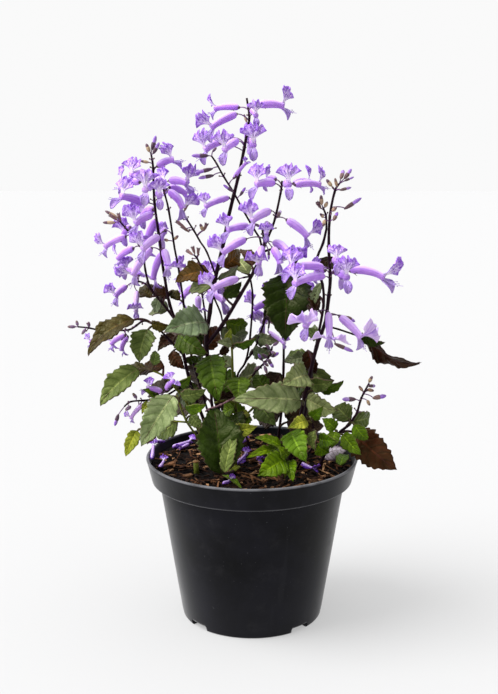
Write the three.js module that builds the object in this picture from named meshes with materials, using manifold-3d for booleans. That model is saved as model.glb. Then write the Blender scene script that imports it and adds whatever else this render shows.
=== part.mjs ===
// A potted plectranthus: a black nursery pot of bark soil, with leafy stems and sprays of lavender flowers.
// Millimetres, +Z up. The origin is the middle of the pot's flat underside.
import * as THREE from "three";
import { mergeVertices } from "three/addons/utils/BufferGeometryUtils.js";
import Module from "manifold-3d";

const wasm = await Module();
wasm.setup();

// Driving dimensions of the pot
const RIM_RADIUS = 85;
const POT_HEIGHT = 133;
const BAND_HEIGHT = 19;
const BAND_FOOT_RADIUS = 80.6;
const BODY_TOP_RADIUS = 74.6;
const BASE_RADIUS = 56.8;
const WALL = 2;
const FLOOR = 2.4;
const INNER_STEP = 1.8;
const INNER_STEP_RISE = 2.2;
const INNER_STEP_DROP = 0.6;
const EDGE_ROUND = 1.5;
const RIM_BEVEL = 0.9;
const POT_SEGMENTS = 32;
const NOTCH_COUNT = 4;
const NOTCH_FIRST = -48;
const NOTCH_WIDTH = 17;
const NOTCH_HEIGHT = 4.6;
const NOTCH_DEPTH = 14;

// Driving dimensions of the soil
const SOIL_TOP = 126;
const SOIL_WAVE = 1.1;
const FIT_GAP = 0.4;
const HOLE_CLEARANCE = 0.4;
const HOLE_DEPTH = 14;
const HOLE_SIDES = 5;
const FOOT_DEPTH = 11;
const CHIP_COUNT = 9;
const CHIP_LENGTH = 15;
const CHIP_WIDTH = 6;
const CHIP_HEIGHT = 3;
const CHIP_LIFT = 0.3;
const CHIP_TILT = 0.5;
const CHIP_SHORTEST = 0.6;
const CHIP_SPREAD = 0.6;
const CHIP_MARGIN = 2;
const CLEAR_OF_STEM = 9;
const CLEAR_OF_FLOWER = 8;
const CLEAR_OF_DRY_LEAF = 22;

// Driving dimensions of the plant
const STEM_SIDES = 4;
const TWIG_SIDES = 3;
const BLADE = 0.8;
const PETAL = 0.7;
const PETIOLE_RADIUS = 0.75;
const PETIOLE_ROOT = 0.34;
const PEDICEL_RADIUS = 0.32;
const JOINT_GAP = 0.9;
const JOINT_CLEAR = 0.08;
const LEAF_ROOT_DROP = 0.3;
const FLOWER_ROOT_DROP = 3;
const BUD_ROOT_DROP = 1.5;
const BUD_THICK = 1.4;
const BUD_BELLY = 0.4;
const BUD_TIP = 0.4;
const TUBE_RADIUS = 3.1;
const MOUTH_WALL = 0.91;
const LIP_RISE = 1.24;
const FAN_HEIGHT = 13.5;
const FAN_HALF_WIDTH = 7.2;
const LIP_LENGTH = 10.5;
const LIP_HALF_WIDTH = 3.3;

// Places are [across, up, back]: across and up as seen from this point against the upright plane
// through the pot's axis, and back is the depth behind that plane.
const EYE = new THREE.Vector3(0, -905, 422);

function place([across, up, back]) {
  const reach = (back - EYE.y) / -EYE.y;
  return new THREE.Vector3(across * reach, back, EYE.z + (up - EYE.z) * reach);
}

// Numbers from 0 to 1 in a fixed order
function seeded(seed) {
  let state = seed;
  return () => {
    state = (state * 16807) % 2147483647;
    return state / 2147483647;
  };
}

const radians = THREE.MathUtils.degToRad;

// Solids

function solid(points, faces) {
  const vertProperties = new Float32Array(points.flatMap((p) => [p.x, p.y, p.z]));
  const triVerts = new Uint32Array(faces.flat());
  return new wasm.Manifold(new wasm.Mesh({ numProp: 3, vertProperties, triVerts }));
}

function solidOf(geometry) {
  geometry.deleteAttribute("normal");
  geometry.deleteAttribute("uv");
  const merged = mergeVertices(geometry, 1e-4);
  const vertProperties = new Float32Array(merged.attributes.position.array);
  const triVerts = new Uint32Array(merged.index.array);
  return new wasm.Manifold(new wasm.Mesh({ numProp: 3, vertProperties, triVerts }));
}

function fused(solids) {
  return wasm.Manifold.union(solids);
}

function meshOf(name, body, material) {
  const made = body.getMesh();
  const geometry = new THREE.BufferGeometry();
  geometry.setAttribute("position", new THREE.BufferAttribute(made.vertProperties, 3));
  geometry.setIndex(new THREE.BufferAttribute(made.triVerts, 1));
  geometry.computeVertexNormals();
  const mesh = new THREE.Mesh(geometry, material);
  mesh.name = name;
  return mesh;
}

// A closed tube through the points, with a radius at each
function tube(points, radii, sides) {
  const corners = [];
  const faces = [];
  const side = new THREE.Vector3(0.31, 0.87, 0.38);
  points.forEach((point, i) => {
    const before = points[Math.max(i - 1, 0)];
    const after = points[Math.min(i + 1, points.length - 1)];
    const along = after.clone().sub(before).normalize();
    side.addScaledVector(along, -side.dot(along)).normalize();
    const other = along.clone().cross(side);
    for (let k = 0; k < sides; k += 1) {
      const angle = (2 * Math.PI * k) / sides;
      const corner = point.clone().addScaledVector(side, radii[i] * Math.cos(angle));
      corners.push(corner.addScaledVector(other, radii[i] * Math.sin(angle)));
    }
  });
  const last = (points.length - 1) * sides;
  for (let i = 0; i < last; i += sides) {
    for (let k = 0; k < sides; k += 1) {
      const next = (k + 1) % sides;
      faces.push([i + k, i + next, i + sides + next], [i + k, i + sides + next, i + sides + k]);
    }
  }
  for (let k = 1; k < sides - 1; k += 1) {
    faces.push([0, k + 1, k], [last, last + k, last + k + 1]);
  }
  return solid(corners, faces);
}

// A thin slab: the same triangles on its top and its underside, and a wall round the rim
function slab(points, under, triangles, rim) {
  const count = points.length;
  const faces = [];
  for (const [a, b, c] of triangles) {
    faces.push([a, b, c], [a + count, c + count, b + count]);
  }
  rim.forEach((p, i) => {
    const q = rim[(i + 1) % rim.length];
    faces.push([p, p + count, q + count], [p, q + count, q]);
  });
  return solid([...points, ...under], faces);
}

// The nearest place on some stems to a point, clear of their joints; each stem is a list of points
function nearest(stems, target) {
  let best = null;
  const at = new THREE.Vector3();
  for (const stem of stems) {
    for (let i = 0; i < stem.length - 1; i += 1) {
      const segment = new THREE.Line3(stem[i], stem[i + 1]);
      const part = segment.closestPointToPointParameter(target, true);
      segment.at(THREE.MathUtils.clamp(part, JOINT_CLEAR, 1 - JOINT_CLEAR), at);
      if (best === null || at.distanceTo(target) < best.distanceTo(target)) best = at.clone();
    }
  }
  return best;
}

// Leaves

const OUTLINE_LEAN = 0.72;
const OUTLINE_FULLNESS = 0.8;
const TOOTH_OUT = 1.07;
const TOOTH_IN = 0.9;
const TOOTH_FORWARD = 0.3;
const KNEE = 2.5;
const KNEE_BEND = 0.15;
const BLADE_WAVE = 0.09;
const BLADE_WAVES = 1.6;

function leafFrame(base, tip, roll, toward) {
  const along = tip.clone().sub(base);
  const length = along.length();
  along.divideScalar(length);
  const face = toward.clone().normalize();
  face.addScaledVector(along, -face.dot(along)).normalize();
  face.applyAxisAngle(along, radians(roll));
  return { base, along, length, face, side: along.clone().cross(face) };
}

// A point of the blade: u from the base to the tip, v from -1 to 1 across, out stretches the teeth
function leafPoint(frame, leaf, u, v, out) {
  const half = 0.5 * leaf.width * Math.sin(Math.PI * u ** OUTLINE_LEAN) ** OUTLINE_FULLNESS * out;
  const spread = Math.abs(v) * half;
  const wave = Math.sin(2 * Math.PI * BLADE_WAVES * u + leaf.width + Math.sign(v)) * BLADE_WAVE;
  const lift = leaf.arch * frame.length * 4 * u * (1 - u) + spread * (Math.sin(radians(leaf.fold)) + wave);
  return frame.base
    .clone()
    .addScaledVector(frame.along, frame.length * u)
    .addScaledVector(frame.side, v * half * Math.cos(radians(leaf.fold)))
    .addScaledVector(frame.face, lift);
}

function leafOnStem(leaf, stems) {
  const base = place(leaf.base);
  const frame = leafFrame(base, place(leaf.tip), leaf.roll, EYE.clone().sub(base));
  const low = base.clone().add(new THREE.Vector3(0, 0, -LEAF_ROOT_DROP * leaf.width));
  return leafSolid(frame, leaf, nearest(stems, low));
}

// The blade and its stalk in one skin. The stalk runs from "root", on the stem, to the foot of the blade.
function leafSolid(frame, leaf, root) {
  const teeth = leaf.teeth;
  const down = frame.face.clone().multiplyScalar(-BLADE);
  const points = [];
  const under = [];
  const put = (top, bottom) => {
    under.push(bottom);
    return points.push(top) - 1;
  };
  const [footRight, footLeft] = [1, -1].map((hand) => {
    const corner = frame.base.clone().addScaledVector(frame.side, hand * PETIOLE_RADIUS);
    return put(corner, corner.clone().add(down));
  });
  // The cross-section of the stalk where it runs along "heading"
  const section = (centre, heading, half) => {
    const flat = frame.side.clone().addScaledVector(heading, -frame.side.dot(heading)).normalize();
    const thick = flat.clone().cross(heading).multiplyScalar(Math.min(half, BLADE / 2));
    return [1, -1].map((hand) => {
      const corner = centre.clone().addScaledVector(flat, hand * half);
      return put(corner.clone().add(thick), corner.clone().sub(thick));
    });
  };
  const middle = down.clone().multiplyScalar(0.5);
  const knee = frame.base.clone().addScaledVector(frame.along, -KNEE).add(middle);
  const stalk = knee.clone().sub(root).normalize();
  const sections = [section(root, stalk, PETIOLE_ROOT)];
  if (stalk.dot(frame.along) < KNEE_BEND) {
    sections.push(section(knee, stalk.clone().add(frame.along).normalize(), PETIOLE_RADIUS));
  }
  sections.push([footRight, footLeft]);
  const blade = (u, v, out) => {
    const top = leafPoint(frame, leaf, u, v, out);
    return put(top, top.clone().add(down));
  };
  const ribs = [];
  for (let i = 1; i <= teeth; i += 1) ribs[i] = blade(i / teeth, 0, 1);
  const edges = [1, -1].map((hand) => {
    const edge = [hand > 0 ? footRight : footLeft];
    for (let j = 1; j < 2 * teeth; j += 1) {
      const tooth = j % 2 === 1;
      const u = (j + (tooth ? TOOTH_FORWARD : 0)) / (2 * teeth);
      edge.push(blade(u, hand, tooth ? TOOTH_OUT : TOOTH_IN));
    }
    edge.push(ribs[teeth]);
    return edge;
  });
  const triangles = [[footLeft, footRight, ribs[1]]];
  sections.slice(1).forEach(([right, left], i) => {
    const [lastRight, lastLeft] = sections[i];
    triangles.push([lastLeft, lastRight, right], [lastLeft, right, left]);
  });
  edges.forEach((edge, mirrored) => {
    const add = (a, b, c) => triangles.push(mirrored ? [a, c, b] : [a, b, c]);
    add(edge[0], edge[1], ribs[1]);
    for (let i = 1; i < teeth; i += 1) {
      add(ribs[i], edge[2 * i - 1], edge[2 * i]);
      add(ribs[i], edge[2 * i], edge[2 * i + 1]);
      add(ribs[i], edge[2 * i + 1], ribs[i + 1]);
    }
  });
  const stalkRight = sections.slice(0, -1).map(([right]) => right);
  const stalkLeft = sections.slice(0, -1).map(([, left]) => left);
  const rim = [...stalkRight, ...edges[0], ...edges[1].slice(0, -1).reverse(), ...stalkLeft.reverse()];
  return slab(points, under, triangles, rim);
}

// Each row is base, tip, width, roll in degrees from facing the eye, arch, fold in degrees, teeth on a side
function leafOf([base, tip, width, roll = 0, arch = 0.08, fold = 16, teeth = 3]) {
  return { base, tip, width, roll, arch, fold, teeth };
}

// Flowers

// The tube's stations: part of the way from base to mouth, and part of the full radius
const TUBE_STATIONS = [
  [0, 0.42],
  [0.34, 1.02],
  [1, 0.87],
];
const TUBE_SIDES = 4;

// Outlines of the lips, as parts of their half width and length: up one side and down the other
const FAN_OUTLINE = [
  [1, 0.78],
  [0.4, 1],
  [0, 0.88],
  [-0.4, 1],
  [-1, 0.78],
];
const FAN_CUP = 0.3;
const FAN_CURL = 0.12;
const LIP_OUTLINE = [
  [1, 0.6],
  [0, 1],
  [-1, 0.6],
];
const LIP_CUP = 0.35;

function flowerFrame(base, mouth, turn) {
  const along = mouth.clone().sub(base);
  const length = along.length();
  along.divideScalar(length);
  const upright = new THREE.Vector3(0, -0.2, 1);
  upright.addScaledVector(along, -upright.dot(along)).normalize();
  upright.applyAxisAngle(along, radians(turn));
  return { base, mouth, along, length, upright };
}

// The plane of a lip: it grows along "grow" and shows its inner face, turned part of the way to the eye
function lipFrame(frame, angle, facing) {
  const lean = radians(angle);
  const grow = frame.along.clone().multiplyScalar(Math.cos(lean));
  grow.addScaledVector(frame.upright, Math.sin(lean));
  const inner = frame.along.clone().multiplyScalar(Math.abs(Math.sin(lean)));
  inner.addScaledVector(frame.upright, -Math.sign(lean) * Math.cos(lean));
  const toEye = EYE.clone().sub(frame.mouth).normalize();
  inner.multiplyScalar(1 - facing).addScaledVector(toEye, facing);
  inner.addScaledVector(grow, -inner.dot(grow)).normalize();
  return { grow, inner, side: grow.clone().cross(inner) };
}

// The front and back points of a lip beyond its root
function lipPoints(frame, lobe, size) {
  const { grow, inner, side } = lipFrame(frame, lobe.angle, lobe.facing);
  const front = lobe.outline.map(([x, h]) => {
    const forward = lobe.cup * lobe.halfWidth * x * x - lobe.curl * lobe.length * h * h;
    return frame.mouth
      .clone()
      .addScaledVector(frame.upright, lobe.rise)
      .addScaledVector(side, x * lobe.halfWidth * size)
      .addScaledVector(grow, h * lobe.length * size)
      .addScaledVector(inner, forward * size);
  });
  const back = front.map((p) => p.clone().addScaledVector(inner, -PETAL));
  return { front, back };
}

// A flower in one skin: stalk, tube, upper lip and lower lip, from "root" on the spray's axis
function flowerSolid(frame, flower, root) {
  const radius = TUBE_RADIUS * Math.min(1, 0.25 + 0.75 * flower.size);
  const across = frame.along.clone().cross(frame.upright);
  const stations = TUBE_STATIONS.map(([t, r]) => {
    const centre = frame.base.clone().addScaledVector(frame.along, t * frame.length);
    return [centre.addScaledVector(frame.upright, flower.bulge * 4 * t * (1 - t)), r * radius];
  });
  const corners = [];
  for (const [centre, reach] of [[root, PEDICEL_RADIUS], ...stations]) {
    for (let k = 0; k < TUBE_SIDES; k += 1) {
      const angle = radians(45 + 90 * k);
      const corner = centre.clone().addScaledVector(frame.upright, reach * Math.cos(angle));
      corners.push(corner.addScaledVector(across, reach * Math.sin(angle)));
    }
  }
  const faces = [
    [0, 2, 1],
    [0, 3, 2],
  ];
  const last = stations.length * TUBE_SIDES;
  for (let i = 0; i < last; i += TUBE_SIDES) {
    for (let k = 0; k < TUBE_SIDES; k += 1) {
      const [here, next] = [i + k, i + ((k + 1) % TUBE_SIDES)];
      faces.push([here, next, next + TUBE_SIDES], [here, next + TUBE_SIDES, here + TUBE_SIDES]);
    }
  }
  const put = (p) => corners.push(p) - 1;
  const inward = (corner, step) => put(corners[corner].clone().addScaledVector(frame.upright, step));
  const [topA, lowA, lowB, topB] = [last, last + 1, last + 2, last + 3];
  const [fanA, fanB] = [inward(topA, -MOUTH_WALL), inward(topB, -MOUTH_WALL)];
  const [lipA, lipB] = [inward(lowA, MOUTH_WALL), inward(lowB, MOUTH_WALL)];
  faces.push([fanA, topA, lowA], [fanA, lowA, lipA], [fanA, lipA, lipB]);
  faces.push([fanA, lipB, fanB], [fanB, lipB, lowB], [fanB, lowB, topB]);
  const fan = {
    angle: flower.fan,
    facing: flower.facing,
    outline: FAN_OUTLINE,
    cup: FAN_CUP,
    curl: FAN_CURL,
    length: FAN_HEIGHT,
    halfWidth: FAN_HALF_WIDTH,
    rise: LIP_RISE,
  };
  const lip = {
    angle: -flower.lip,
    facing: flower.facing,
    outline: LIP_OUTLINE,
    cup: LIP_CUP,
    curl: 0,
    length: LIP_LENGTH,
    halfWidth: LIP_HALF_WIDTH,
    rise: -LIP_RISE,
  };
  const roots = [
    [fan, fanB, fanA, topB, topA],
    [lip, lipA, lipB, lowA, lowB],
  ];
  for (const [lobe, frontStart, frontEnd, backStart, backEnd] of roots) {
    const { front, back } = lipPoints(frame, lobe, flower.size);
    const fore = [frontStart, ...front.map(put), frontEnd];
    const rear = [backStart, ...back.map(put), backEnd];
    const middle = (fore.length - 1) / 2;
    for (let i = 0; i < fore.length - 1; i += 1) {
      faces.push([fore[i], rear[i], rear[i + 1]], [fore[i], rear[i + 1], fore[i + 1]]);
    }
    for (let i = 1; i < middle; i += 1) {
      const j = fore.length - 1 - i;
      faces.push([fore[0], fore[i], fore[i + 1]], [fore[j - 1], fore[j], fore[fore.length - 1]]);
      faces.push([rear[0], rear[i + 1], rear[i]], [rear[j - 1], rear[rear.length - 1], rear[j]]);
    }
    faces.push([fore[0], fore[middle], fore[fore.length - 1]]);
    faces.push([rear[0], rear[rear.length - 1], rear[middle]]);
  }
  return solid(corners, faces);
}

function flowerWithStalk(flower, stems) {
  const frame = flowerFrame(place(flower.base), place(flower.mouth), flower.turn);
  const root = nearest(stems, frame.base.clone().add(new THREE.Vector3(0, 0, -FLOWER_ROOT_DROP)));
  return flowerSolid(frame, flower, root);
}

// Each row is base, mouth, and what differs from an ordinary flower
const ORDINARY_FLOWER = { fan: 72, lip: 52, size: 1, turn: 0, facing: 0.45, bulge: 1.2 };

function flowerOf([base, mouth, differs = {}]) {
  return { ...ORDINARY_FLOWER, base, mouth, ...differs };
}

// A bud or an empty calyx on its stalk; each row is base, tip and half thickness
function budWithStalk([base, tip, thick = BUD_THICK], stems) {
  const low = place(base);
  const high = place(tip);
  const start = nearest(stems, low.clone().add(new THREE.Vector3(0, 0, -BUD_ROOT_DROP)));
  const belly = low.clone().lerp(high, BUD_BELLY);
  return tube([start, belly, high], [PEDICEL_RADIUS, thick, BUD_TIP], TWIG_SIDES);
}

// Stems

function stemPath(rows) {
  return rows.map(place);
}

// The buried foot of a stem, straight down through the soil at a real place [x, y]
function withFoot([x, y], rows) {
  const top = new THREE.Vector3(x, y, SOIL_TOP + 3);
  const foot = new THREE.Vector3(x, y, SOIL_TOP - FOOT_DEPTH);
  return [foot, top, ...stemPath(rows)];
}

function tapered(points, thick, thin, sides) {
  const radii = points.map((_, i) => thick + ((thin - thick) * i) / (points.length - 1));
  return tube(points, radii, sides);
}

// The leafy stems. A leaf row is base, tip, width, roll, arch, fold, teeth.
const LEAFY_STEMS = [
  {
    name: "left_stem",
    foot: [-30, 6],
    thick: 1.5,
    thin: 1.1,
    rows: [[-38, 160, 8], [-48, 188, 6], [-54, 215, 2], [-58, 237, 0], [-64.5, 256, -3], [-69, 283, -6]],
    branches: [
      { thick: 1.1, thin: 0.8, rows: [[-54, 215, 2], [-64, 226, -3], [-74, 237, -9], [-81, 242, -11.5]] },
      {
        thick: 1.1,
        thin: 0.8,
        rows: [
          [-60, 243, -1],
          [-71, 258, 3],
          [-79, 268, 4],
          [-83, 283, 0],
          [-84, 298, -2],
        ],
      },
      {
        thick: 1,
        thin: 0.8,
        rows: [
          [-48, 188, 6],
          [-50, 190, -6],
          [-58, 188, -14],
          [-65, 184, -18],
          [-70, 181, -20],
        ],
      },
    ],
    leaves: [
      [[-93, 244, -21], [-131, 217, -30], 26, 48, 0.12, 14, 4],
      [[-82, 236, -14], [-90, 210, -24], 22, 22, 0.1, 18, 3],
      [[-79, 241, -19], [-65, 238, -26], 11, 40, 0.1, 16, 2],
      [[-58, 232, -5], [-37, 217, -26], 21, 15, 0.1, 20, 3],
      [[-76, 267, 20], [-91, 261, 42], 15, 50, 0.1, 14, 2],
      [[-73, 263, 16], [-62, 266, 24], 15, 67, 0.1, 14, 2],
      [[-66, 252, 8], [-80, 250, 30], 16, 40, 0.1, 14, 2],
    ],
  },
  {
    name: "left_thin_stem",
    foot: [-24, 20],
    thick: 0.95,
    thin: 0.8,
    rows: [
      [-34, 165, 20],
      [-42, 192, 19],
      [-48, 215, 18],
      [-53, 252, 16],
      [-56.5, 280, 13],
      [-60, 300, 10],
    ],
    branches: [],
    leaves: [
      [[-45, 226, 22], [-34, 238, 36], 17, 20, 0.1, 16, 2],
      [[-43, 190, 24], [-58, 176, 40], 24, 20, 0.12, 16, 3],
      [[-46, 236, 22], [-62, 228, 42], 22, 25, 0.1, 16, 3],
    ],
  },
  {
    name: "left_low_branch",
    foot: [-31, -12],
    thick: 1.1,
    thin: 0.8,
    rows: [[-45, 158, -17], [-53, 178, -22], [-60, 187, -26], [-70, 198, -29], [-80, 203, -31]],
    branches: [],
    leaves: [
      [[-90, 204, -28], [-122, 175, -40], 23, 30, 0.1, 18, 3],
      [[-84, 204, -26], [-108, 196, -8], 15, 50, 0.08, 12, 2],
      [[-70, 206, -25], [-90, 200, -10], 15, 45, 0.1, 14, 2],
      [[-62, 190, -20], [-84, 182, 6], 16, 40, 0.1, 14, 2],
    ],
  },
  {
    name: "main_stem",
    foot: [-18, -3],
    thick: 1.9,
    thin: 1.3,
    rows: [
      [-26, 165, 0],
      [-33, 200, 0],
      [-36, 225, -2],
      [-33, 250, -4],
      [-29.5, 272, -5],
      [-22, 305, -6],
      [-18, 325, -6],
    ],
    branches: [
      {
        thick: 1.5,
        thin: 0.95,
        rows: [
          [-36, 223, -2],
          [-23, 240, -6],
          [-10, 262, -10],
          [2, 283, -13],
          [9.5, 302, -15],
          [12.5, 309, -16],
        ],
      },
      { thick: 0.9, thin: 0.8, rows: [[8, 299, -14.6], [6, 308, -14]] },
      { thick: 0.8, thin: 0.75, rows: [[9, 301, -15], [9.5, 305, -20]] },
      {
        thick: 0.9,
        thin: 0.75,
        rows: [
          [7.5, 297, -14.5],
          [19, 300, -20],
          [30, 297, -26],
          [36, 293, -30],
        ],
      },
      { thick: 0.8, thin: 0.75, rows: [[-28.7, 280, -5], [-35, 297, 1], [-40, 305, 4]] },
      { thick: 0.8, thin: 0.75, rows: [[-30, 272, -5], [-35, 279, -14]] },
      { thick: 0.8, thin: 0.75, rows: [[-31, 264, -4], [-25, 250, -1], [-23, 241, -6]] },
      { thick: 0.8, thin: 0.75, rows: [[-1, 278, -12], [-5, 277.5, -16]] },
    ],
    leaves: [
      [[-34, 282, 6], [-60, 275, 6], 22, 42, 0.1, 14, 3],
      [[-32, 270, -4], [-50, 267, 8], 16, 40, 0.1, 14, 2],
      [[-26, 276, -4], [-10, 286, 8], 13, 50, 0.08, 12, 2],
      [[-22, 286, 2], [-9, 299, 22], 15, 30, 0.1, 14, 2],
      [[0, 287, -6], [-8, 300, 18], 14, 40, 0.1, 14, 2],
      [[-12, 262, -8], [-24, 273, 12], 14, 45, 0.1, 14, 2],
      [[-36, 241, -12], [-68, 235, -34], 28, 24, 0.14, 16, 4],
      [[-33, 215, -10], [-27, 178, -34], 25, 8, 0.12, 20, 4],
      [[-37, 220, 6], [-27, 239, 22], 16, 20, 0.1, 14, 2],
      [[-20, 242, -8], [-3, 239, 4], 16, 35, 0.1, 14, 2],
      [[-24, 236, -4], [-4, 228, 24], 20, 18, 0.1, 14, 3],
      [[29, 281, -32], [26, 228, -52], 34, 6, 0.12, 18, 5],
    ],
  },
  {
    name: "middle_thin_stem",
    foot: [-2, 30],
    thick: 0.9,
    thin: 0.75,
    rows: [[-9, 165, 28], [-12, 196, 26], [-5, 210, 25], [-1.5, 230, 22], [0.5, 262, 18], [-2, 280, 14]],
    branches: [
      { thick: 0.8, thin: 0.75, rows: [[-5, 210, 25], [2, 220, 22], [7, 234, 18], [11, 246, 14]] },
    ],
    leaves: [
      [[-3, 280, 16], [-12, 292, 32], 14, 25, 0.1, 14, 2],
      [[0, 219, 26], [17, 219, 40], 13, 45, 0.1, 14, 2],
      [[1, 229, 30], [21, 229, 28], 14, 45, 0.1, 14, 2],
      [[-10, 196, 30], [6, 203, 52], 22, 20, 0.1, 14, 3],
      [[-12, 190, 30], [-30, 198, 40], 22, 8, 0.1, 14, 3],
      [[10, 246, 16], [24, 256, 24], 20, 20, 0.1, 14, 3],
    ],
  },
  {
    name: "olive_stem",
    foot: [-13, -21],
    thick: 1.2,
    thin: 0.8,
    rows: [[-12, 160, -18], [-15, 195, -16], [-16, 223, -14], [-18, 231, -13]],
    branches: [
      { thick: 0.8, thin: 0.75, rows: [[-13, 176, -17], [-22, 178, -26], [-30, 176, -34]] },
      { thick: 0.8, thin: 0.75, rows: [[-15, 189, -16], [-6, 193, -12], [0, 198, -12]] },
    ],
    leaves: [
      [[-25, 116.5, -66], [-31, 174, -36], 33, 10, 0.12, 22, 5],
      [[-16, 224, -17], [-27, 226, -28], 8, 16, 0.1, 14, 2],
      [[-14, 223, -18], [3, 228, -30], 9, 45, 0.1, 14, 2],
      [[-10, 197, -22], [-11, 179, -38], 20, 5, 0.1, 18, 3],
      [[-17, 206, -10], [-27, 212, 6], 13, 20, 0.1, 14, 2],
      [[-12, 168, -22], [-8, 152, -36], 16, 20, 0.12, 16, 2],
    ],
  },
  {
    name: "right_stem",
    foot: [30, -6],
    thick: 1.6,
    thin: 1.3,
    rows: [
      [37, 155, -8],
      [41, 176, -10],
      [46, 200, -14],
      [51, 222, -20],
      [54.5, 232, -24],
      [58, 243, -29],
    ],
    branches: [
      { thick: 0.8, thin: 0.75, rows: [[57, 239, -27], [68, 236, -22], [80, 232, -17], [88, 230, -13]] },
    ],
    leaves: [
      [[89, 230, -3], [132, 206, -14], 24, 64, 0.12, 14, 4],
      [[85, 232, -16], [104, 224, -26], 12, 50, 0.1, 14, 2],
      [[44, 219, -5], [50, 199, 4], 13, 20, 0.1, 14, 2],
      [[44, 199, -18], [25, 192, -40], 24, 12, 0.1, 18, 3],
      [[46, 192, -14], [64, 193, -30], 15, 30, 0.1, 16, 2],
      [[54, 186, -12], [73, 193, -16], 11, 40, 0.1, 14, 2],
      [[39, 178, -22], [-13, 179, -56], 27, 12, 0.1, 16, 4],
      [[44, 180, -12], [67, 169, -24], 22, 30, 0.12, 18, 3],
    ],
  },
  {
    name: "right_back_stem",
    foot: [36, 14],
    thick: 1.2,
    thin: 0.9,
    rows: [
      [43, 170, 12],
      [47, 200, 10],
      [52, 230, 6],
      [56, 255, 4],
      [55, 272, 2],
      [50, 289, -1],
      [55, 304, -6],
      [57.5, 315, -9],
    ],
    branches: [],
    leaves: [
      [[52, 291, 2], [70, 290, 16], 16, 48, 0.1, 14, 2],
      [[53, 262, 8], [44, 250, 24], 16, 30, 0.1, 14, 2],
      [[51, 231, 10], [42, 235, 24], 13, 30, 0.1, 14, 2],
      [[46, 212, 14], [25, 212, 34], 15, 30, 0.1, 14, 2],
      [[48, 198, 13], [36, 188, 48], 24, 32, 0.1, 14, 3],
      [[50, 204, 17], [56, 184, 48], 24, -4, 0.1, 14, 3],
    ],
  },
  {
    name: "right_low_stem",
    foot: [54, -16],
    thick: 1.3,
    thin: 0.9,
    rows: [[62, 140, -18], [71, 152, -20], [78, 158, -21], [81, 163, -21]],
    branches: [
      { thick: 0.8, thin: 0.75, rows: [[64, 143, -18], [68, 151, -27], [68, 153, -29]] },
    ],
    leaves: [
      [[78, 162, -17], [66, 174, -2], 19, 10, 0.1, 16, 3],
      [[80, 161, -8], [95, 165, 6], 18, 30, 0.1, 16, 3],
      [[82, 158, -31], [93, 145, -30], 13, 20, 0.12, 16, 2],
      [[67, 154, -25], [57, 163, -26], 12, 15, 0.1, 16, 2],
      [[67, 152, -35], [64, 139, -42], 12, 10, 0.1, 16, 2],
      [[73, 150, -26], [87, 133, -40], 14, 12, 0.1, 16, 2],
      [[81, 152, -16], [116, 120, -32], 29, 12, 0.1, 14, 4],
    ],
  },
  {
    name: "front_stem",
    foot: [26, -38],
    thick: 0.9,
    thin: 0.75,
    rows: [[27.5, 128, -42], [27, 140, -41], [30, 151, -37]],
    branches: [],
    leaves: [
      [[27, 129, -52], [6, 116, -66], 22, 5, 0.1, 16, 3],
      [[30, 128, -47], [33, 111, -64], 12, 5, 0.12, 18, 2],
      [[29, 131, -50], [22, 139, -54], 11, 22, 0.1, 16, 2],
      [[31, 152, -40], [43, 128, -62], 22, 4, 0.12, 18, 3],
      [[24, 139, -49], [3, 148, -50], 10, 42, 0.12, 16, 2],
      [[22, 137, -42], [-4, 131, -60], 9, 25, 0.14, 16, 2],
    ],
  },
  {
    name: "front_right_stem",
    foot: [36, -20],
    thick: 0.9,
    thin: 0.75,
    rows: [[50, 141, -34], [49, 156, -36], [47, 162, -37]],
    branches: [],
    leaves: [
      [[44, 161, -39], [30, 156, -52], 12, 10, 0.12, 18, 2],
      [[48, 164, -40], [56, 172, -52], 10, 8, 0.1, 16, 2],
      [[50, 153, -43], [50, 137, -54], 12, 45, 0.1, 20, 2],
      [[54, 146, -36], [67, 144, -50], 13, 15, 0.1, 16, 2],
      [[52, 141, -24], [62, 134, -24], 14, 22, 0.1, 16, 2],
    ],
  },
  {
    name: "front_left_stem",
    foot: [-27, -27],
    thick: 1.1,
    thin: 0.8,
    rows: [[-38, 140, -34], [-52, 160, -41], [-60, 182, -43]],
    branches: [
      {
        thick: 0.8,
        thin: 0.75,
        rows: [
          [-52, 160, -41],
          [-70, 161, -36],
          [-82, 157, -34],
          [-91, 154, -34],
        ],
      },
    ],
    leaves: [
      [[-63, 182, -47], [-89, 141, -66], 26, 6, 0.12, 18, 4],
      [[-57, 182, -42], [-37, 186, -46], 13, 30, 0.1, 16, 2],
      [[-53, 171, -48], [-37, 174, -52], 10, 35, 0.1, 16, 2],
      [[-49, 166, -40], [-40, 155, -50], 11, 15, 0.1, 16, 2],
      [[-60, 160, -32], [-77, 147, -24], 17, 15, 0.1, 16, 2],
      [[-92, 153, -36], [-102, 132, -48], 12, 10, 0.12, 16, 2],
    ],
  },
  {
    name: "centre_stem",
    foot: [-15, 13],
    thick: 1,
    thin: 0.8,
    rows: [[-14, 155, 11], [-7, 164, 8], [1, 172, 3], [10, 184, -3]],
    branches: [],
    leaves: [
      [[11, 187, 0], [2, 199, 8], 16, 8, 0.1, 16, 2],
      [[13, 187, -4], [36, 186, 4], 15, 20, 0.1, 16, 2],
      [[6, 176, -4], [18, 158, -22], 20, 10, 0.12, 16, 3],
      [[-2, 166, 2], [-16, 154, -8], 16, 20, 0.12, 16, 2],
      [[-12, 158, 8], [-34, 160, 18], 20, 20, 0.12, 16, 3],
    ],
  },
  {
    name: "back_left_stem",
    foot: [-30, 44],
    thick: 1.2,
    thin: 0.9,
    rows: [[-32, 175, 46], [-34, 205, 48], [-36, 236, 46], [-37, 250, 45]],
    branches: [],
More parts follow.
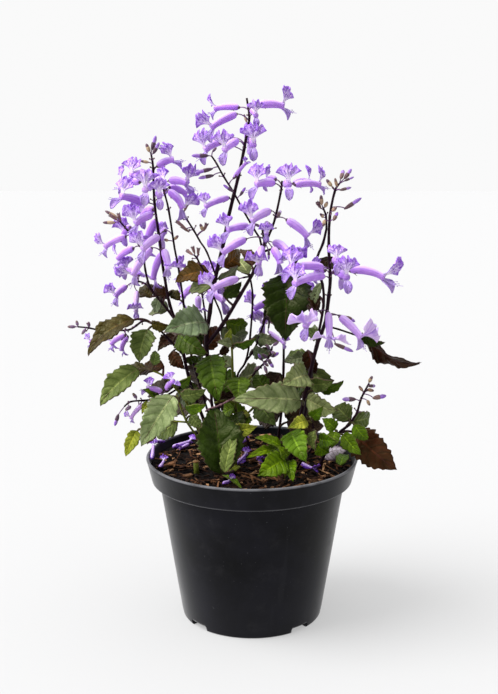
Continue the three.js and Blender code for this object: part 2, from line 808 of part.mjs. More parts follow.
    leaves: [
      [[-40, 236, 44], [-66, 234, 66], 28, 20, 0.12, 16, 3],
      [[-33, 212, 51], [-44, 190, 72], 28, 10, 0.12, 16, 3],
      [[-30, 186, 47], [-8, 178, 70], 26, 15, 0.12, 16, 3],
      [[-36, 180, 51], [-66, 170, 60], 26, 20, 0.12, 16, 3],
      [[-32, 164, 53], [-27, 156, 72], 22, 15, 0.12, 16, 3],
    ],
  },
  {
    name: "back_right_stem",
    foot: [22, 46],
    thick: 1.2,
    thin: 0.9,
    rows: [[24, 175, 46], [25, 205, 46], [25, 228, 44], [25, 240, 43]],
    branches: [],
    leaves: [
      [[22, 200, 44], [14, 178, 66], 28, 22, 0.12, 16, 3],
      [[28, 196, 48], [52, 186, 64], 26, 18, 0.12, 16, 3],
      [[26, 172, 48], [50, 168, 54], 26, 30, 0.12, 16, 3],
      [[22, 168, 50], [4, 164, 70], 24, 3, 0.12, 16, 3],
      [[28, 160, 43], [58, 156, 50], 22, 20, 0.12, 16, 3],
      [[24, 232, 48], [27, 262, 62], 26, 10, 0.12, 16, 3],
    ],
  },
];

// The sprays, each starting where its stem ends. A flower row is base, mouth and what differs.
const SPRAYS = [
  {
    name: "main_spray",
    thick: 1.3,
    thin: 0.75,
    rows: [
      [-18, 325, -6],
      [-14, 341, -6],
      [-10.5, 355, -6],
      [-6, 376, -6],
      [-3.5, 391, -5],
      [-2, 400, -4],
      [-4, 414, -3],
    ],
    flowers: [
      [[-10, 407, 2], [-28, 406, 10], { fan: 30, size: 0.8 }],
      [[-12, 402, -6], [-31, 392, -14], { fan: 42 }],
      [[0, 404, -8], [3, 401, -24], { size: 0.72, lip: 70 }],
      [[5, 409, -9], [24, 408, -6]],
      [[0, 382, -9], [1, 379, -26], { lip: 76 }],
      [[-11, 382, -10], [-21, 375, -22]],
      [[-18, 384, 8], [-36, 375, 1], { fan: 79 }],
      [[-18, 339, -7], [-36, 332, -16], { size: 0.72 }],
    ],
    buds: [
      [[-24, 380, -9], [-27, 389, -9]],
    ],
  },
  {
    name: "leaning_spray",
    thick: 0.8,
    thin: 0.75,
    rows: [
      [6, 308, -14],
      [1.5, 315, -14],
      [-7, 330, -13.5],
      [-14, 343, -13],
      [-21.5, 355, -13.5],
      [-27, 365, -14],
      [-31, 371, -15],
    ],
    flowers: [
      [[-3, 317, -15], [-19, 314, -25], { fan: 46, size: 0.9 }],
      [[-14, 354, -15], [-4, 366, -18], { size: 0.3, fan: 20, lip: 15, bulge: 0.5 }],
    ],
    buds: [
      [[-34, 371, -16], [-46, 371, -20], 1.7],
      [[-31, 361, -16], [-43.5, 358, -20], 1.7],
      [[-30, 356, -16], [-41, 354, -18], 1.6],
      [[-9, 341, -15], [-5, 347, -16], 1.2],
    ],
  },
  {
    name: "top_right_spray",
    thick: 0.9,
    thin: 0.75,
    rows: [[12.5, 309, -16], [15, 315, -17], [18, 324, -18], [22, 343, -20], [23, 352, -20]],
    flowers: [
      [[17, 350, -22], [3, 349, -30], { lip: 60 }],
      [[18, 353, -14], [11, 352, 2], { size: 0.75, fan: 78 }],
      [[26, 349, -25], [28, 349, -40], { lip: 60 }],
      [[33, 349, -25], [52, 349, -16], { fan: 56, lip: 40, size: 0.85 }],
      [[32, 350, -13], [44, 351, 0], { size: 0.8 }],
      [[27, 322, -26], [43, 309, -26], { fan: 61 }],
      [[14, 329, -22], [0, 321, -30]],
      [[11.5, 320, -22], [11, 311, -30], { size: 0.65, facing: 0.2 }],
    ],
    buds: [[[20, 325, -24], [22, 329, -14], 1.5]],
  },
  {
    name: "junction_spray",
    thick: 0.8,
    thin: 0.75,
    rows: [[9.5, 305, -20], [8.5, 311, -24], [7.5, 318, -26]],
    flowers: [
      [[17, 304, -17], [31, 291, -38], { bulge: 4, fan: 40 }],
      [[16, 300, -34], [22, 288, -38], { facing: 0.2 }],
      [[8, 301, -28], [5, 287, -36], { facing: 0.2 }],
      [[-5, 307, -24], [-23, 296, -30], { fan: 60 }],
    ],
    buds: [],
  },
  {
    name: "inner_spray",
    thick: 0.8,
    thin: 0.75,
    rows: [[-5, 277.5, -16], [-7, 277, -18]],
    flowers: [[[-11, 276, -19], [-31, 268, -27], { fan: 50 }]],
    buds: [],
  },
  {
    name: "spent_spray",
    thick: 0.8,
    thin: 0.75,
    rows: [[-40, 305, 4], [-45, 314, 6], [-50, 322, 8], [-54, 328, 9]],
    flowers: [],
    buds: [
      [[-38, 314, 6], [-40, 319, 6], 1.5],
      [[-37, 314, 4], [-35, 319, 3], 1.5],
      [[-51, 315, 5], [-58, 321, 9], 1.5],
      [[-54, 330, 3], [-57, 335, 1], 1.4],
      [[-52, 329, 11], [-50, 334, 7], 1.4],
    ],
  },
  {
    name: "small_bud_spray",
    thick: 0.8,
    thin: 0.75,
    rows: [[-35, 279, -14], [-40, 287, -16], [-42.5, 292, -17], [-45, 295, -17]],
    flowers: [],
    buds: [
      [[-46, 295, -14], [-50, 298, -6], 1.4],
      [[-44.5, 296, -18], [-46, 301, -19], 1.4],
    ],
  },
  {
    name: "right_spray",
    thick: 1.3,
    thin: 0.75,
    rows: [
      [58, 243, -29],
      [60, 262, -34],
      [61, 277, -36],
      [59.5, 300, -36],
      [60, 325, -34],
      [63.5, 344, -32],
      [67, 350, -31],
    ],
    flowers: [
      [[55, 285, -43], [30, 284, -56], { bulge: 2 }],
      [[56, 278, -40], [33, 272, -64], { bulge: 2, lip: 60 }],
      [[64, 290, -44], [66, 290, -60], { lip: 70, size: 0.8 }],
      [[68, 280, -46], [74, 277, -62], { lip: 70 }],
      [[76, 283, -45], [103, 277, -46], { fan: 45, lip: 34, bulge: 2.5 }],
      [[50, 249, -42], [42, 238, -56], { fan: 50 }],
      [[60, 249, -40], [61, 228, -48], { facing: 0.5, fan: 60 }],
      [[69, 246, -38], [86, 229, -42], { fan: 55, lip: 50 }],
      [[64, 282, -33], [70, 278, -14], { size: 0.9, facing: 0 }],
    ],
    buds: [
      [[72, 331, -29], [84, 339, -34], 1.7],
      [[68, 354, -37], [70, 360, -27], 1.6],
      [[71, 354, -36], [76, 361, -34], 1.6],
      [[71, 352, -29], [78, 355, -28], 1],
      [[68, 345, -38], [76, 347, -32], 1.2],
      [[61, 348, -33], [57, 353, -34], 1.6],
      [[62, 329, -38], [65, 332, -40], 1.5],
      [[63, 322, -42], [66, 328, -38], 1.5],
      [[66, 224, -40], [80, 218, -42], 1.6],
    ],
  },
  {
    name: "right_back_spray",
    thick: 0.8,
    thin: 0.75,
    rows: [[57.5, 315, -9], [57, 325, -11], [54.5, 332, -12]],
    flowers: [],
    buds: [
      [[53.5, 334, -12], [53, 341, -13], 1.7],
      [[53, 331, -6], [50.5, 335, -13], 1.5],
      [[56, 332, -13], [58, 336, -10], 1.5],
    ],
  },
  {
    name: "left_spray",
    thick: 1.1,
    thin: 0.75,
    rows: [
      [-69, 283, -6],
      [-72, 310, -8],
      [-75, 336, -8],
      [-75.5, 361, -6],
      [-76, 367, -5.5],
      [-77, 373, -5],
    ],
    flowers: [
      [[-72, 363, -5], [-60, 368, -2], { fan: 80, size: 0.9 }],
      [[-84, 335, -13], [-101, 340, -24]],
      [[-86, 351, -2], [-100, 350, 8], { size: 0.9 }],
      [[-79, 357, -7], [-93, 356, -16], { fan: 84, size: 0.9 }],
      [[-78, 347, -8], [-82, 345, -30], { lip: 70 }],
      [[-72, 342, -14], [-71, 340, -28], { lip: 70, size: 0.85 }],
      [[-77, 326, -16], [-90, 319, -24]],
      [[-72, 309, -16], [-85, 299, -26]],
      [[-78, 300, -8], [-93, 279, -10], { fan: 52 }],
      [[-68.5, 299, -17], [-65, 284, -20], { facing: 0.3 }],
      [[-76, 330, 3], [-84, 326, 18], { facing: 0 }],
    ],
    buds: [
      [[-78, 374, -5], [-80.5, 380, -5], 1.6],
      [[-76, 376, -5], [-73, 386, -5], 1.8],
      [[-75, 373, -7], [-70.5, 381, -8], 1.6],
    ],
  },
  {
    name: "left_thin_spray",
    thick: 0.8,
    thin: 0.75,
    rows: [[-60, 300, 10], [-64, 329, 7], [-67, 342, 4], [-68.5, 347, 3]],
    flowers: [
      [[-63, 352, -1], [-50, 350, -6], { fan: 48 }],
      [[-64, 344, -4], [-53, 331, -6], { bulge: 2 }],
      [[-63, 347, 5], [-51, 342, 18], { size: 0.85 }],
      [[-67, 314, 15], [-70, 308, 28], { size: 0.85, facing: 0 }],
    ],
    buds: [
      [[-65, 306, 8], [-68, 307, 7], 1.3],
    ],
  },
  {
    name: "left_outer_spray",
    thick: 0.8,
    thin: 0.75,
    rows: [[-84, 298, -2], [-90, 306, -1], [-97, 315, 0], [-102, 321, 1]],
    flowers: [
      [[-98, 309, -10], [-114, 301, -8], { fan: 50, size: 0.8 }],
      [[-94, 316, 8], [-99, 311, 18], { size: 0.85, facing: 0 }],
    ],
    buds: [
      [[-104, 322, 1], [-109.5, 326, 1], 1.5],
      [[-104, 324, 2], [-113, 329, 3], 1.5],
      [[-106, 320, 0], [-115, 320, -1], 1.5],
    ],
  },
  {
    name: "left_inner_spray",
    thick: 0.8,
    thin: 0.75,
    rows: [[-79.2, 268.1, 4.3], [-83, 272, 10], [-88, 274, 13], [-94, 273, 12]],
    flowers: [
      [[-98, 270, 10], [-107, 262, 6], { size: 0.8 }],
      [[-90, 266, 24], [-91, 250, 13], { size: 0.7, facing: 0.2 }],
      [[-88, 279, 15], [-98, 283, 32], { size: 0.8, facing: 0 }],
    ],
    buds: [],
  },
  {
    name: "left_low_spray",
    thick: 0.8,
    thin: 0.75,
    rows: [
      [-81.4, 242.2, -11.5],
      [-86, 242.5, -10],
      [-91, 239, -7.5],
      [-97, 235.5, -4],
      [-110, 235, -2],
      [-119, 235, -2],
      [-128, 237, -3],
      [-137, 238, -4],
    ],
    flowers: [
      [[-100, 231, -7], [-111, 224, -4], { size: 0.65 }],
      [[-98, 230, 5], [-103, 219, 6], { size: 0.6, facing: 0.2 }],
      [[-116, 231, 6], [-128, 225, 6], { size: 0.5 }],
    ],
    buds: [
      [[-131, 236, -7], [-134, 232, -5], 1.3],
      [[-139, 238, -4], [-145, 238, -4], 1.4],
      [[-104, 238, -10], [-106, 245, -17], 1.5],
    ],
  },
  {
    name: "hanging_spray",
    thick: 0.8,
    thin: 0.75,
    rows: [[-70, 181, -20], [-78, 179, -22], [-87, 178, -24], [-97, 177, -26], [-102, 173, -27]],
    flowers: [
      [[-86, 175, -26], [-97, 163, -26], { size: 0.45 }],
      [[-72, 185, -29], [-84, 188, -30], { size: 0.6 }],
      [[-68, 187, -33], [-62, 194, -39], { size: 0.55 }],
    ],
    buds: [
      [[-107, 166, -28], [-110, 157, -29], 1.6],
      [[-97, 173, -29], [-101, 170, -26], 1.6],
      [[-92, 180, -26], [-95, 184, -28], 1.4],
    ],
  },
  {
    name: "low_right_spray",
    thick: 0.9,
    thin: 0.75,
    rows: [[81, 163, -21], [84, 168, -21], [86.5, 178, -21], [89, 184, -21], [93, 192, -21]],
    flowers: [],
    buds: [
      [[97, 180, -28], [107, 182, -27], 1.9],
      [[82, 179, -24], [72, 179, -28], 1.9],
      [[92, 178, -26], [94, 174, -24], 1.4],
      [[92, 187, -16], [97, 186, -15], 1.5],
      [[93, 190, -26], [98, 190, -19], 1.4],
      [[93, 193, -21], [95.5, 198, -21], 1.5],
    ],
  },
  {
    name: "young_spray",
    thick: 0.8,
    thin: 0.75,
    rows: [[11, 246, 14], [12.5, 246, 11], [13.5, 242, 7], [13, 237, 5]],
    flowers: [[[13, 234, 3], [26, 224, -6], { size: 0.4, bulge: 0.5 }]],
    buds: [],
  },
  {
    name: "centre_spray",
    thick: 0.8,
    thin: 0.75,
    rows: [[0, 198, -12], [5, 204, -12], [10, 209, -12], [14, 215, -12], [16, 222, -12]],
    flowers: [],
    buds: [
      [[10, 206, -14], [12, 200, -16], 1.4],
      [[13, 211, -14], [17, 205, -16], 1.5],
      [[8, 211, -13], [5, 216, -18], 1.3],
      [[16, 214, -7], [21, 217, -15], 1.5],
      [[17, 223, -15], [21, 226, -13], 1.4],
    ],
  },
  {
    name: "back_left_spray",
    thick: 0.8,
    thin: 0.75,
    rows: [[-37, 250, 45], [-39, 264, 44], [-41, 280, 43]],
    flowers: [
      [[-42, 262, 30], [-42, 252, 30], { size: 0.9 }],
      [[-34, 266, 45], [-22, 258, 36]],
      [[-43, 282, 46], [-55, 280, 54], { facing: 0 }],
      [[-38, 279, 45], [-34, 276, 66], { facing: 0 }],
    ],
    buds: [[[-41, 282, 43], [-42, 288, 43], 1.4]],
  },
  {
    name: "back_right_spray",
    thick: 0.8,
    thin: 0.75,
    rows: [[25, 240, 43], [24, 256, 42], [24, 270, 41]],
    flowers: [
      [[16, 258, 36], [2, 252, 38]],
      [[30, 262, 46], [42, 262, 58], { facing: 0 }],
      [[22, 266, 50], [18, 262, 66], { facing: 0 }],
      [[30, 268, 35], [40, 272, 46], { size: 0.8 }],
    ],
    buds: [[[24, 271, 41], [24, 276, 41], 1.4]],
  },
];

// Flowers that have dropped on the soil, at real places [x, y] with a heading in degrees
const FALLEN_FLOWERS = [
  { at: [44, -15], heading: -56, length: 20, sink: 0.3 },
  { at: [5, 5], heading: -80, length: 20, sink: 1.05 },
  { at: [-6, 7], heading: 80, length: 15, sink: 0.45 },
  { at: [-72, -11], heading: 82, length: 14, sink: 0.8 },
  { at: [-24, -22], heading: 20, length: 9, sink: 0.65 },
];
const FALLEN_RADIUS = 1.9;
// The tube of a dropped flower: part of the way along it, and part of the full radius
const FALLEN_STATIONS = [
  [0, 0.3],
  [0.25, 0.85],
  [0.75, 0.9],
  [1, 1],
];

// The dry leaf lies curled on the soil between these real places
const DRY_STALK = 5;
const DRY_LEAF = {
  from: [57, 4, 5.6],
  to: [76, 7, 8.6],
  width: 16,
  roll: 0,
  arch: 0.22,
  fold: -24,
  teeth: 4,
};

// The pot: a turned wall with its band and floor, less the drainage notches at the foot

const BAND_FOOT = POT_HEIGHT - BAND_HEIGHT;
const INNER_BAND_TOP = [RIM_RADIUS - WALL, POT_HEIGHT];
const INNER_BAND_FOOT = [BAND_FOOT_RADIUS - INNER_STEP, BAND_FOOT + INNER_STEP_RISE];
const INNER_SHOULDER = [BODY_TOP_RADIUS - INNER_STEP, BAND_FOOT - INNER_STEP_DROP];
const INNER_BASE = [BASE_RADIUS - WALL, FLOOR];

const wallRadius = (z) => {
  const t = (z - INNER_BAND_FOOT[1]) / (INNER_BAND_TOP[1] - INNER_BAND_FOOT[1]);
  return INNER_BAND_FOOT[0] + t * (INNER_BAND_TOP[0] - INNER_BAND_FOOT[0]);
};

function turned(profile) {
  const points = profile.map(([r, z]) => new THREE.Vector2(r, z));
  return new THREE.LatheGeometry(points, POT_SEGMENTS).rotateX(Math.PI / 2);
}

function pot() {
  const wall = turned([
    [0, 0],
    [BASE_RADIUS - EDGE_ROUND, 0],
    [BASE_RADIUS, EDGE_ROUND],
    [BODY_TOP_RADIUS, BAND_FOOT],
    [BAND_FOOT_RADIUS, BAND_FOOT],
    [RIM_RADIUS, POT_HEIGHT - RIM_BEVEL],
    [RIM_RADIUS - RIM_BEVEL, POT_HEIGHT],
    INNER_BAND_TOP,
    INNER_BAND_FOOT,
    INNER_SHOULDER,
    INNER_BASE,
    [0, FLOOR],
  ]);
  const notches = [];
  for (let i = 0; i < NOTCH_COUNT; i += 1) {
    const notch = new THREE.BoxGeometry(NOTCH_WIDTH, NOTCH_DEPTH, 2 * NOTCH_HEIGHT);
    notch.translate(0, -BASE_RADIUS, 0);
    notch.rotateZ(radians(NOTCH_FIRST + (360 / NOTCH_COUNT) * i));
    notches.push(solidOf(notch));
  }
  return solidOf(wall).subtract(fused(notches));
}

// The soil: it fills the pot, rolls gently on top, carries bark chips and has a plain hole for each stem

const SOIL_RINGS = 3;
const SOIL_RADIUS = wallRadius(SOIL_TOP) - FIT_GAP;

function soilHeight(x, y) {
  const fade = 1 - Math.min(1, Math.hypot(x, y) / SOIL_RADIUS) ** 4;
  const roll = Math.sin(x / 14 + 1) * Math.cos(y / 16) + 0.4 * Math.sin((x + 2 * y) / 18);
  return SOIL_TOP + SOIL_WAVE * fade * roll;
}

function chips(random, keepClear) {
  const made = [];
  while (made.length < CHIP_COUNT) {
    const radius = (SOIL_RADIUS - CHIP_LENGTH / 2 - CHIP_MARGIN) * Math.sqrt(random());
    const angle = 2 * Math.PI * random();
    const [x, y] = [radius * Math.cos(angle), radius * Math.sin(angle)];
    const turn = Math.PI * random();
    const tilt = CHIP_TILT * (random() - 0.5);
    const stretch = CHIP_SHORTEST + CHIP_SPREAD * random();
    const clear = keepClear.every((spot) => Math.hypot(spot[0] - x, spot[1] - y) > spot[2]);
    if (!clear) continue;
    const chip = new THREE.BoxGeometry(CHIP_LENGTH * stretch, CHIP_WIDTH * stretch, CHIP_HEIGHT);
    chip.rotateX(tilt).rotateZ(turn);
    made.push(solidOf(chip.translate(x, y, soilHeight(x, y) + CHIP_LIFT)));
  }
  return made;
}

function soil(feet, keepClear) {
  const profile = [
    [0, FLOOR + FIT_GAP],
    [INNER_BASE[0] - 2 * FIT_GAP, FLOOR + FIT_GAP],
    [INNER_SHOULDER[0] - FIT_GAP, INNER_SHOULDER[1] + FIT_GAP],
    [INNER_BAND_FOOT[0] - FIT_GAP, INNER_BAND_FOOT[1] + FIT_GAP],
  ];
  for (let ring = SOIL_RINGS; ring >= 0; ring -= 1) {
    profile.push([(SOIL_RADIUS * ring) / SOIL_RINGS, SOIL_TOP]);
  }
  const body = turned(profile);
  const at = body.attributes.position;
  for (let i = 0; i < at.count; i += 1) {
    if (at.getZ(i) > SOIL_TOP - 0.1) at.setZ(i, soilHeight(at.getX(i), at.getY(i)));
  }
  const holes = feet.map(({ foot, thick }) => {
    const radius = (thick + HOLE_CLEARANCE) / Math.cos(Math.PI / HOLE_SIDES);
    const hole = new THREE.CylinderGeometry(radius, radius, 2 * HOLE_DEPTH, HOLE_SIDES);
    hole.rotateX(Math.PI / 2);
    hole.translate(foot[0], foot[1], SOIL_TOP - FOOT_DEPTH - FIT_GAP + HOLE_DEPTH);
    return solidOf(hole);
  });
  const litter = chips(seeded(4105), keepClear);
  return fused([solidOf(body), ...litter]).subtract(fused(holes));
}

// A dropped flower rests just above the highest soil along its length
function fallenFlower({ at, heading, length, sink }) {
  const half = new THREE.Vector3(Math.cos(radians(heading)), Math.sin(radians(heading)), 0);
  half.multiplyScalar(length / 2);
  const ground = [-1, -0.5, 0, 0.5, 1].map((t) => soilHeight(at[0] + t * half.x, at[1] + t * half.y));
  const middle = new THREE.Vector3(at[0], at[1], Math.max(...ground) + FALLEN_RADIUS + FIT_GAP - sink);
  const start = middle.clone().sub(half);
  const stations = FALLEN_STATIONS.map(([t]) => start.clone().addScaledVector(half, 2 * t));
  return tube(stations, FALLEN_STATIONS.map(([, r]) => r * FALLEN_RADIUS), STEM_SIDES);
}

function dryLeaf() {
  const at = ([x, y, lift]) => new THREE.Vector3(x, y, soilHeight(x, y) + lift);
  const frame = leafFrame(at(DRY_LEAF.from), at(DRY_LEAF.to), DRY_LEAF.roll, new THREE.Vector3(0, -0.8, 0.7));
  return leafSolid(frame, DRY_LEAF, frame.base.clone().addScaledVector(frame.along, -DRY_STALK));
}

// The finishes, by the colour of each kind of piece
const FINISHES = {
  pot: new THREE.MeshStandardMaterial({ color: 0x24262a, roughness: 0.45, metalness: 0 }),
  soil: new THREE.MeshStandardMaterial({ color: 0x2a1a12, roughness: 0.95, metalness: 0 }),
  leaf: new THREE.MeshStandardMaterial({ color: 0x4c6b33, roughness: 0.55, metalness: 0 }),
  flower: new THREE.MeshStandardMaterial({ color: 0xb384e6, roughness: 0.6, metalness: 0 }),
  dry: new THREE.MeshStandardMaterial({ color: 0x9a8f8c, roughness: 0.85, metalness: 0 }),
};

const plant = new THREE.Group();
const add = (name, body, finish) => plant.add(meshOf(name, body, FINISHES[finish]));

function leafyStem(stem) {
  const main = withFoot(stem.foot, stem.rows);
  const branches = stem.branches.map((branch) => stemPath(branch.rows));
  const paths = [main, ...branches];
  return fused([
    tapered(main, stem.thick, stem.thin, STEM_SIDES),
    ...branches.map((path, i) => tapered(path, stem.branches[i].thick, stem.branches[i].thin, STEM_SIDES)),
    ...stem.leaves.map((row) => leafOnStem(leafOf(row), paths)),
  ]);
}

function spray({ rows, thick, thin, flowers, buds }) {
  const rachis = stemPath(rows);
  const along = rachis[1].clone().sub(rachis[0]).normalize();
  rachis[0].addScaledVector(along, JOINT_GAP);
  return fused([
    tapered(rachis, thick, thin, STEM_SIDES),
    ...flowers.map((row) => flowerWithStalk(flowerOf(row), [rachis])),
    ...buds.map((row) => budWithStalk(row, [rachis])),
  ]);
}

add("pot", pot(), "pot");
const keepClear = [
  ...LEAFY_STEMS.map(({ foot }) => [...foot, CLEAR_OF_STEM]),
  ...FALLEN_FLOWERS.map(({ at, length }) => [...at, CLEAR_OF_FLOWER + length / 2]),
  [(DRY_LEAF.from[0] + DRY_LEAF.to[0]) / 2, (DRY_LEAF.from[1] + DRY_LEAF.to[1]) / 2, CLEAR_OF_DRY_LEAF],
];
add("soil", soil(LEAFY_STEMS, keepClear), "soil");
for (const stem of LEAFY_STEMS) add(stem.name, leafyStem(stem), "leaf");
for (const row of SPRAYS) add(row.name, spray(row), "flower");
FALLEN_FLOWERS.forEach((row, i) => add(`fallen_flower_${i + 1}`, fallenFlower(row), "flower"));
add("dry_leaf", dryLeaf(), "dry");

export default plant;
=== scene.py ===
"""A potted plectranthus in flower: a black nursery pot, bark soil, leafy stems and lavender flowers."""

import random
from collections import namedtuple
from math import cos, exp, hypot, pi, radians, sin

import bmesh
import bpy
from mathutils import Matrix, Vector, noise


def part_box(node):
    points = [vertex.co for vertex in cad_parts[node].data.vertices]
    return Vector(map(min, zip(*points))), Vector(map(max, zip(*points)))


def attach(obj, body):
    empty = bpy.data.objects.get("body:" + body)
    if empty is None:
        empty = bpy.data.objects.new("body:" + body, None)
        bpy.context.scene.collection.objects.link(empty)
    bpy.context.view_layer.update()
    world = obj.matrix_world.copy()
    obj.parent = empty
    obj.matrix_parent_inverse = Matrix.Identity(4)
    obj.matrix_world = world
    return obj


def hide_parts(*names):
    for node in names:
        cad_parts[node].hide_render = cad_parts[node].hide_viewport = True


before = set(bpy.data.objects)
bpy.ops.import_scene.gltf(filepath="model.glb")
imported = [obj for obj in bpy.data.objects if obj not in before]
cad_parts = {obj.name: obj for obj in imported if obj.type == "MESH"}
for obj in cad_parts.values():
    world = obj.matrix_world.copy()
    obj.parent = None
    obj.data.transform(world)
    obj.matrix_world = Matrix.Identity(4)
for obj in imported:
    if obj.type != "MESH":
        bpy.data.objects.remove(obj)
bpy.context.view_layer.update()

MM = 0.001
# Points that are nearer than this, in metres, become one
WELD = 1e-6

# The camera stands where the photograph was taken from, and its axis is a few pixels off the middle
EYE = Vector((0, -905, 422)) * MM
CAMERA_PITCH = radians(12.48)
LENS = 60.9
IMAGE_LONG_SIDE = 694
AXIS_OFFSET = 3

# Light from the room: an axis, where along it the light begins and is whole, and its strength at both. It is
# dim in front, a little brighter behind, and strong overhead and on the left.
WORLD_LIGHT = (("Y", -1.0, 0.35, 0.12, 0.45), ("Z", 0.3, 0.95, 0, 1.25), ("X", -0.45, -0.95, 0, 2.2))
# How bright the room looks to the camera, from every side
BACKDROP = 0.955
# One soft lamp from the upper left
KEY_LIGHT = 3.0
KEY_SOFTNESS = 40
KEY_FROM = (-0.7, -0.15, 1.0)
FLOOR_SHADE = (0.266, 0.266, 0.267)
FLOOR_GLOW = 0.42
FLOOR_REACH = 4

# The pot, in millimetres
RIM_RADIUS = 85
POT_HEIGHT = 133
BAND_HEIGHT = 19
BAND_FOOT = POT_HEIGHT - BAND_HEIGHT
BAND_FOOT_RADIUS = 80.6
BODY_TOP_RADIUS = 74.6
BASE_RADIUS = 56.8
SHOULDER = 8
WALL = 2
FLOOR = 2.4
FOOT_RECESS = 0.8
FOOT_RING = 12
FOOT_ROUND = 1.6
SHOULDER_ROUND = 1.2
BAND_ROUND = 0.9
RIM_ROUND = 1.0
RIM_INNER_ROUND = 0.6
NOTCH_COUNT = 4
NOTCH_FIRST = -48
NOTCH_WIDTH = 17
NOTCH_HEIGHT = 4.6
NOTCH_DEPTH = 14
NOTCH_ROUND = 1.2
POT_STEPS = 160
# How far up the wall the painted light bounced from the floor reaches
PAINTED_BOUNCE_HEIGHT = 70

# The soil, in millimetres
SOIL_TOP = 126
SOIL_WAVE = 1.1
SOIL_RADIUS = 81.3
SOIL_STEPS = 120
SOIL_RINGS = 34
CHIPS = 150
CHIP_LENGTHS = (4, 10)
CRUMBS = 600
CRUMB_LENGTHS = (1.2, 3.4)
SLIVERS = 720

# Leaves, in millimetres and in shares of a leaf's width or length
BLADE = 0.8
BLADE_COLUMNS = 12
OUTLINE_LEAN = 0.72
OUTLINE_FULLNESS = 0.8
TOOTH_START = 0.15
TOOTH_CREST = 0.75
TOOTH_FOOT = 0.84
TOOTH_DEPTH = 0.25
TOOTH_WOBBLE = 0.16
BLADE_WAVE = 0.16
BLADE_WAVES = 2.1
TIP_CURL = 0.05
PUCKER = 0.3
PUCKERED_WIDTH = 22
VEIN_PAIRS = 6
VEIN_SWEEP = 0.2
VEIN_BEND = 1.25
RIB = (0.0, 0.15, 0.3, 0.45, 0.6, 0.75, 0.88)
LEAF_STALK = 0.65
LEAF_STALK_GROWTH = 0.012

# Flowers, in millimetres and in shares of a lip's width or length
PETAL = 0.49
TUBE_RADIUS = 3.1
MOUTH_SINK = 0.9
FAN_HEIGHT = 12.4
FAN_HALF_WIDTH = 6.7
FAN_CUP = 0.3
FAN_CURL = 0.3
FAN_RUFFLE = 0.2
LOBE_GAP = 0.56
GAP_WIDTH = 0.12
LIP_LENGTH = 10.5
LIP_HALF_WIDTH = 3.3
LIP_CUP = 0.35
# Stamens and the style, each with its place across the lower lip and its length
STAMENS = ((-0.5, 7.5), (-0.17, 8.7), (0.17, 7.5), (0.5, 8.7))
STYLE = (0, 11)
FILAMENT_RADIUS = 0.21
CALYX_LENGTH = 4.2
CALYX_RADIUS = 1.75
CALYX_TEETH = 5
BEAD_LENGTH = 6.5
BUD_RADIUS = 1.4
PEDICEL_RADIUS = 0.55
BUD_STALK_RADIUS = 0.42

# Stems and sprays, in millimetres
ORDINARY_SPRAY = {"thick": (0.8, 0.75), "flowers": [], "buds": []}
STEM_STEPS = 4
SPRAY_STEPS = 3
KNOT = 1.16
SQUARENESS = 0.16


def rgb(red, green, blue):
    """The linear colour of one that is given as 0 to 255."""
    shares = (red / 255, green / 255, blue / 255)
    return tuple(((share + 0.055) / 1.055) ** 2.4 if share > 0.04 else share / 12.92 for share in shares)


def mixed(first, second, share):
    """A colour that is the given share of the way from the first one to the second."""
    return tuple(a * (1 - share) + b * share for a, b in zip(first, second))


STALK = rgb(62, 36, 40)
MAIN_STEM = rgb(30, 9, 21)
OLIVE_STEM = rgb(92, 100, 34)
PEDICEL = rgb(112, 78, 124)
CALYX_TINT = rgb(70, 44, 62)
SPENT = rgb(158, 126, 98)
SPENT_DARK = rgb(96, 64, 58)
SPENT_RIM = rgb(88, 56, 76)
BEAD = rgb(178, 160, 122)
PLUM = rgb(84, 58, 84)
FALLEN_TINT = rgb(112, 64, 190)
LAVENDER = [rgb(190, 138, 234), rgb(198, 150, 238), rgb(180, 126, 228), rgb(208, 166, 240)]

# Colours of a leaf's upper face and of its lower face
LEAF_SHADES = {
    "deep": (rgb(16, 30, 0), rgb(46, 34, 22)),
    "dark": (rgb(28, 44, 4), rgb(54, 40, 26)),
    "green": (rgb(54, 76, 14), rgb(70, 54, 36)),
    "sage": (rgb(86, 102, 54), rgb(84, 70, 52)),
    "grey": (rgb(106, 120, 92), rgb(92, 82, 72)),
    "pale": (rgb(124, 136, 94), rgb(96, 86, 62)),
    "fresh": (rgb(72, 100, 14), rgb(86, 96, 34)),
    "young": (rgb(82, 110, 6), rgb(90, 112, 24)),
    "lime": (rgb(126, 138, 46), rgb(120, 120, 50)),
    "amber": (rgb(82, 54, 12), rgb(70, 46, 22)),
    "olive": (rgb(54, 45, 10), rgb(66, 46, 24)),
    "brown": (rgb(58, 27, 14), rgb(54, 28, 18)),
    "maroon": (rgb(38, 13, 8), rgb(40, 18, 14)),
    "dry": (rgb(200, 190, 198), rgb(150, 132, 140)),
}

# The stems and sprays that differ in colour, in the way their leaves face, or in what their buds are
OLIVE_STEMS = ("olive_stem", "left_low_branch", "front_left_stem", "centre_stem", "front_stem")
BACK_STEMS = ("back_left_stem", "back_right_stem")
SPENT_SPRAYS = ("spent_spray", "small_bud_spray", "left_low_spray", "right_back_spray", "left_outer_spray")
PLUM_SPRAYS = ("leaning_spray", "junction_spray", "centre_spray", "hanging_spray", "left_low_spray")

# Places are (across, up, back) in millimetres: across and up as seen by the camera against the upright
# plane through the pot's axis, and back is the depth behind that plane.

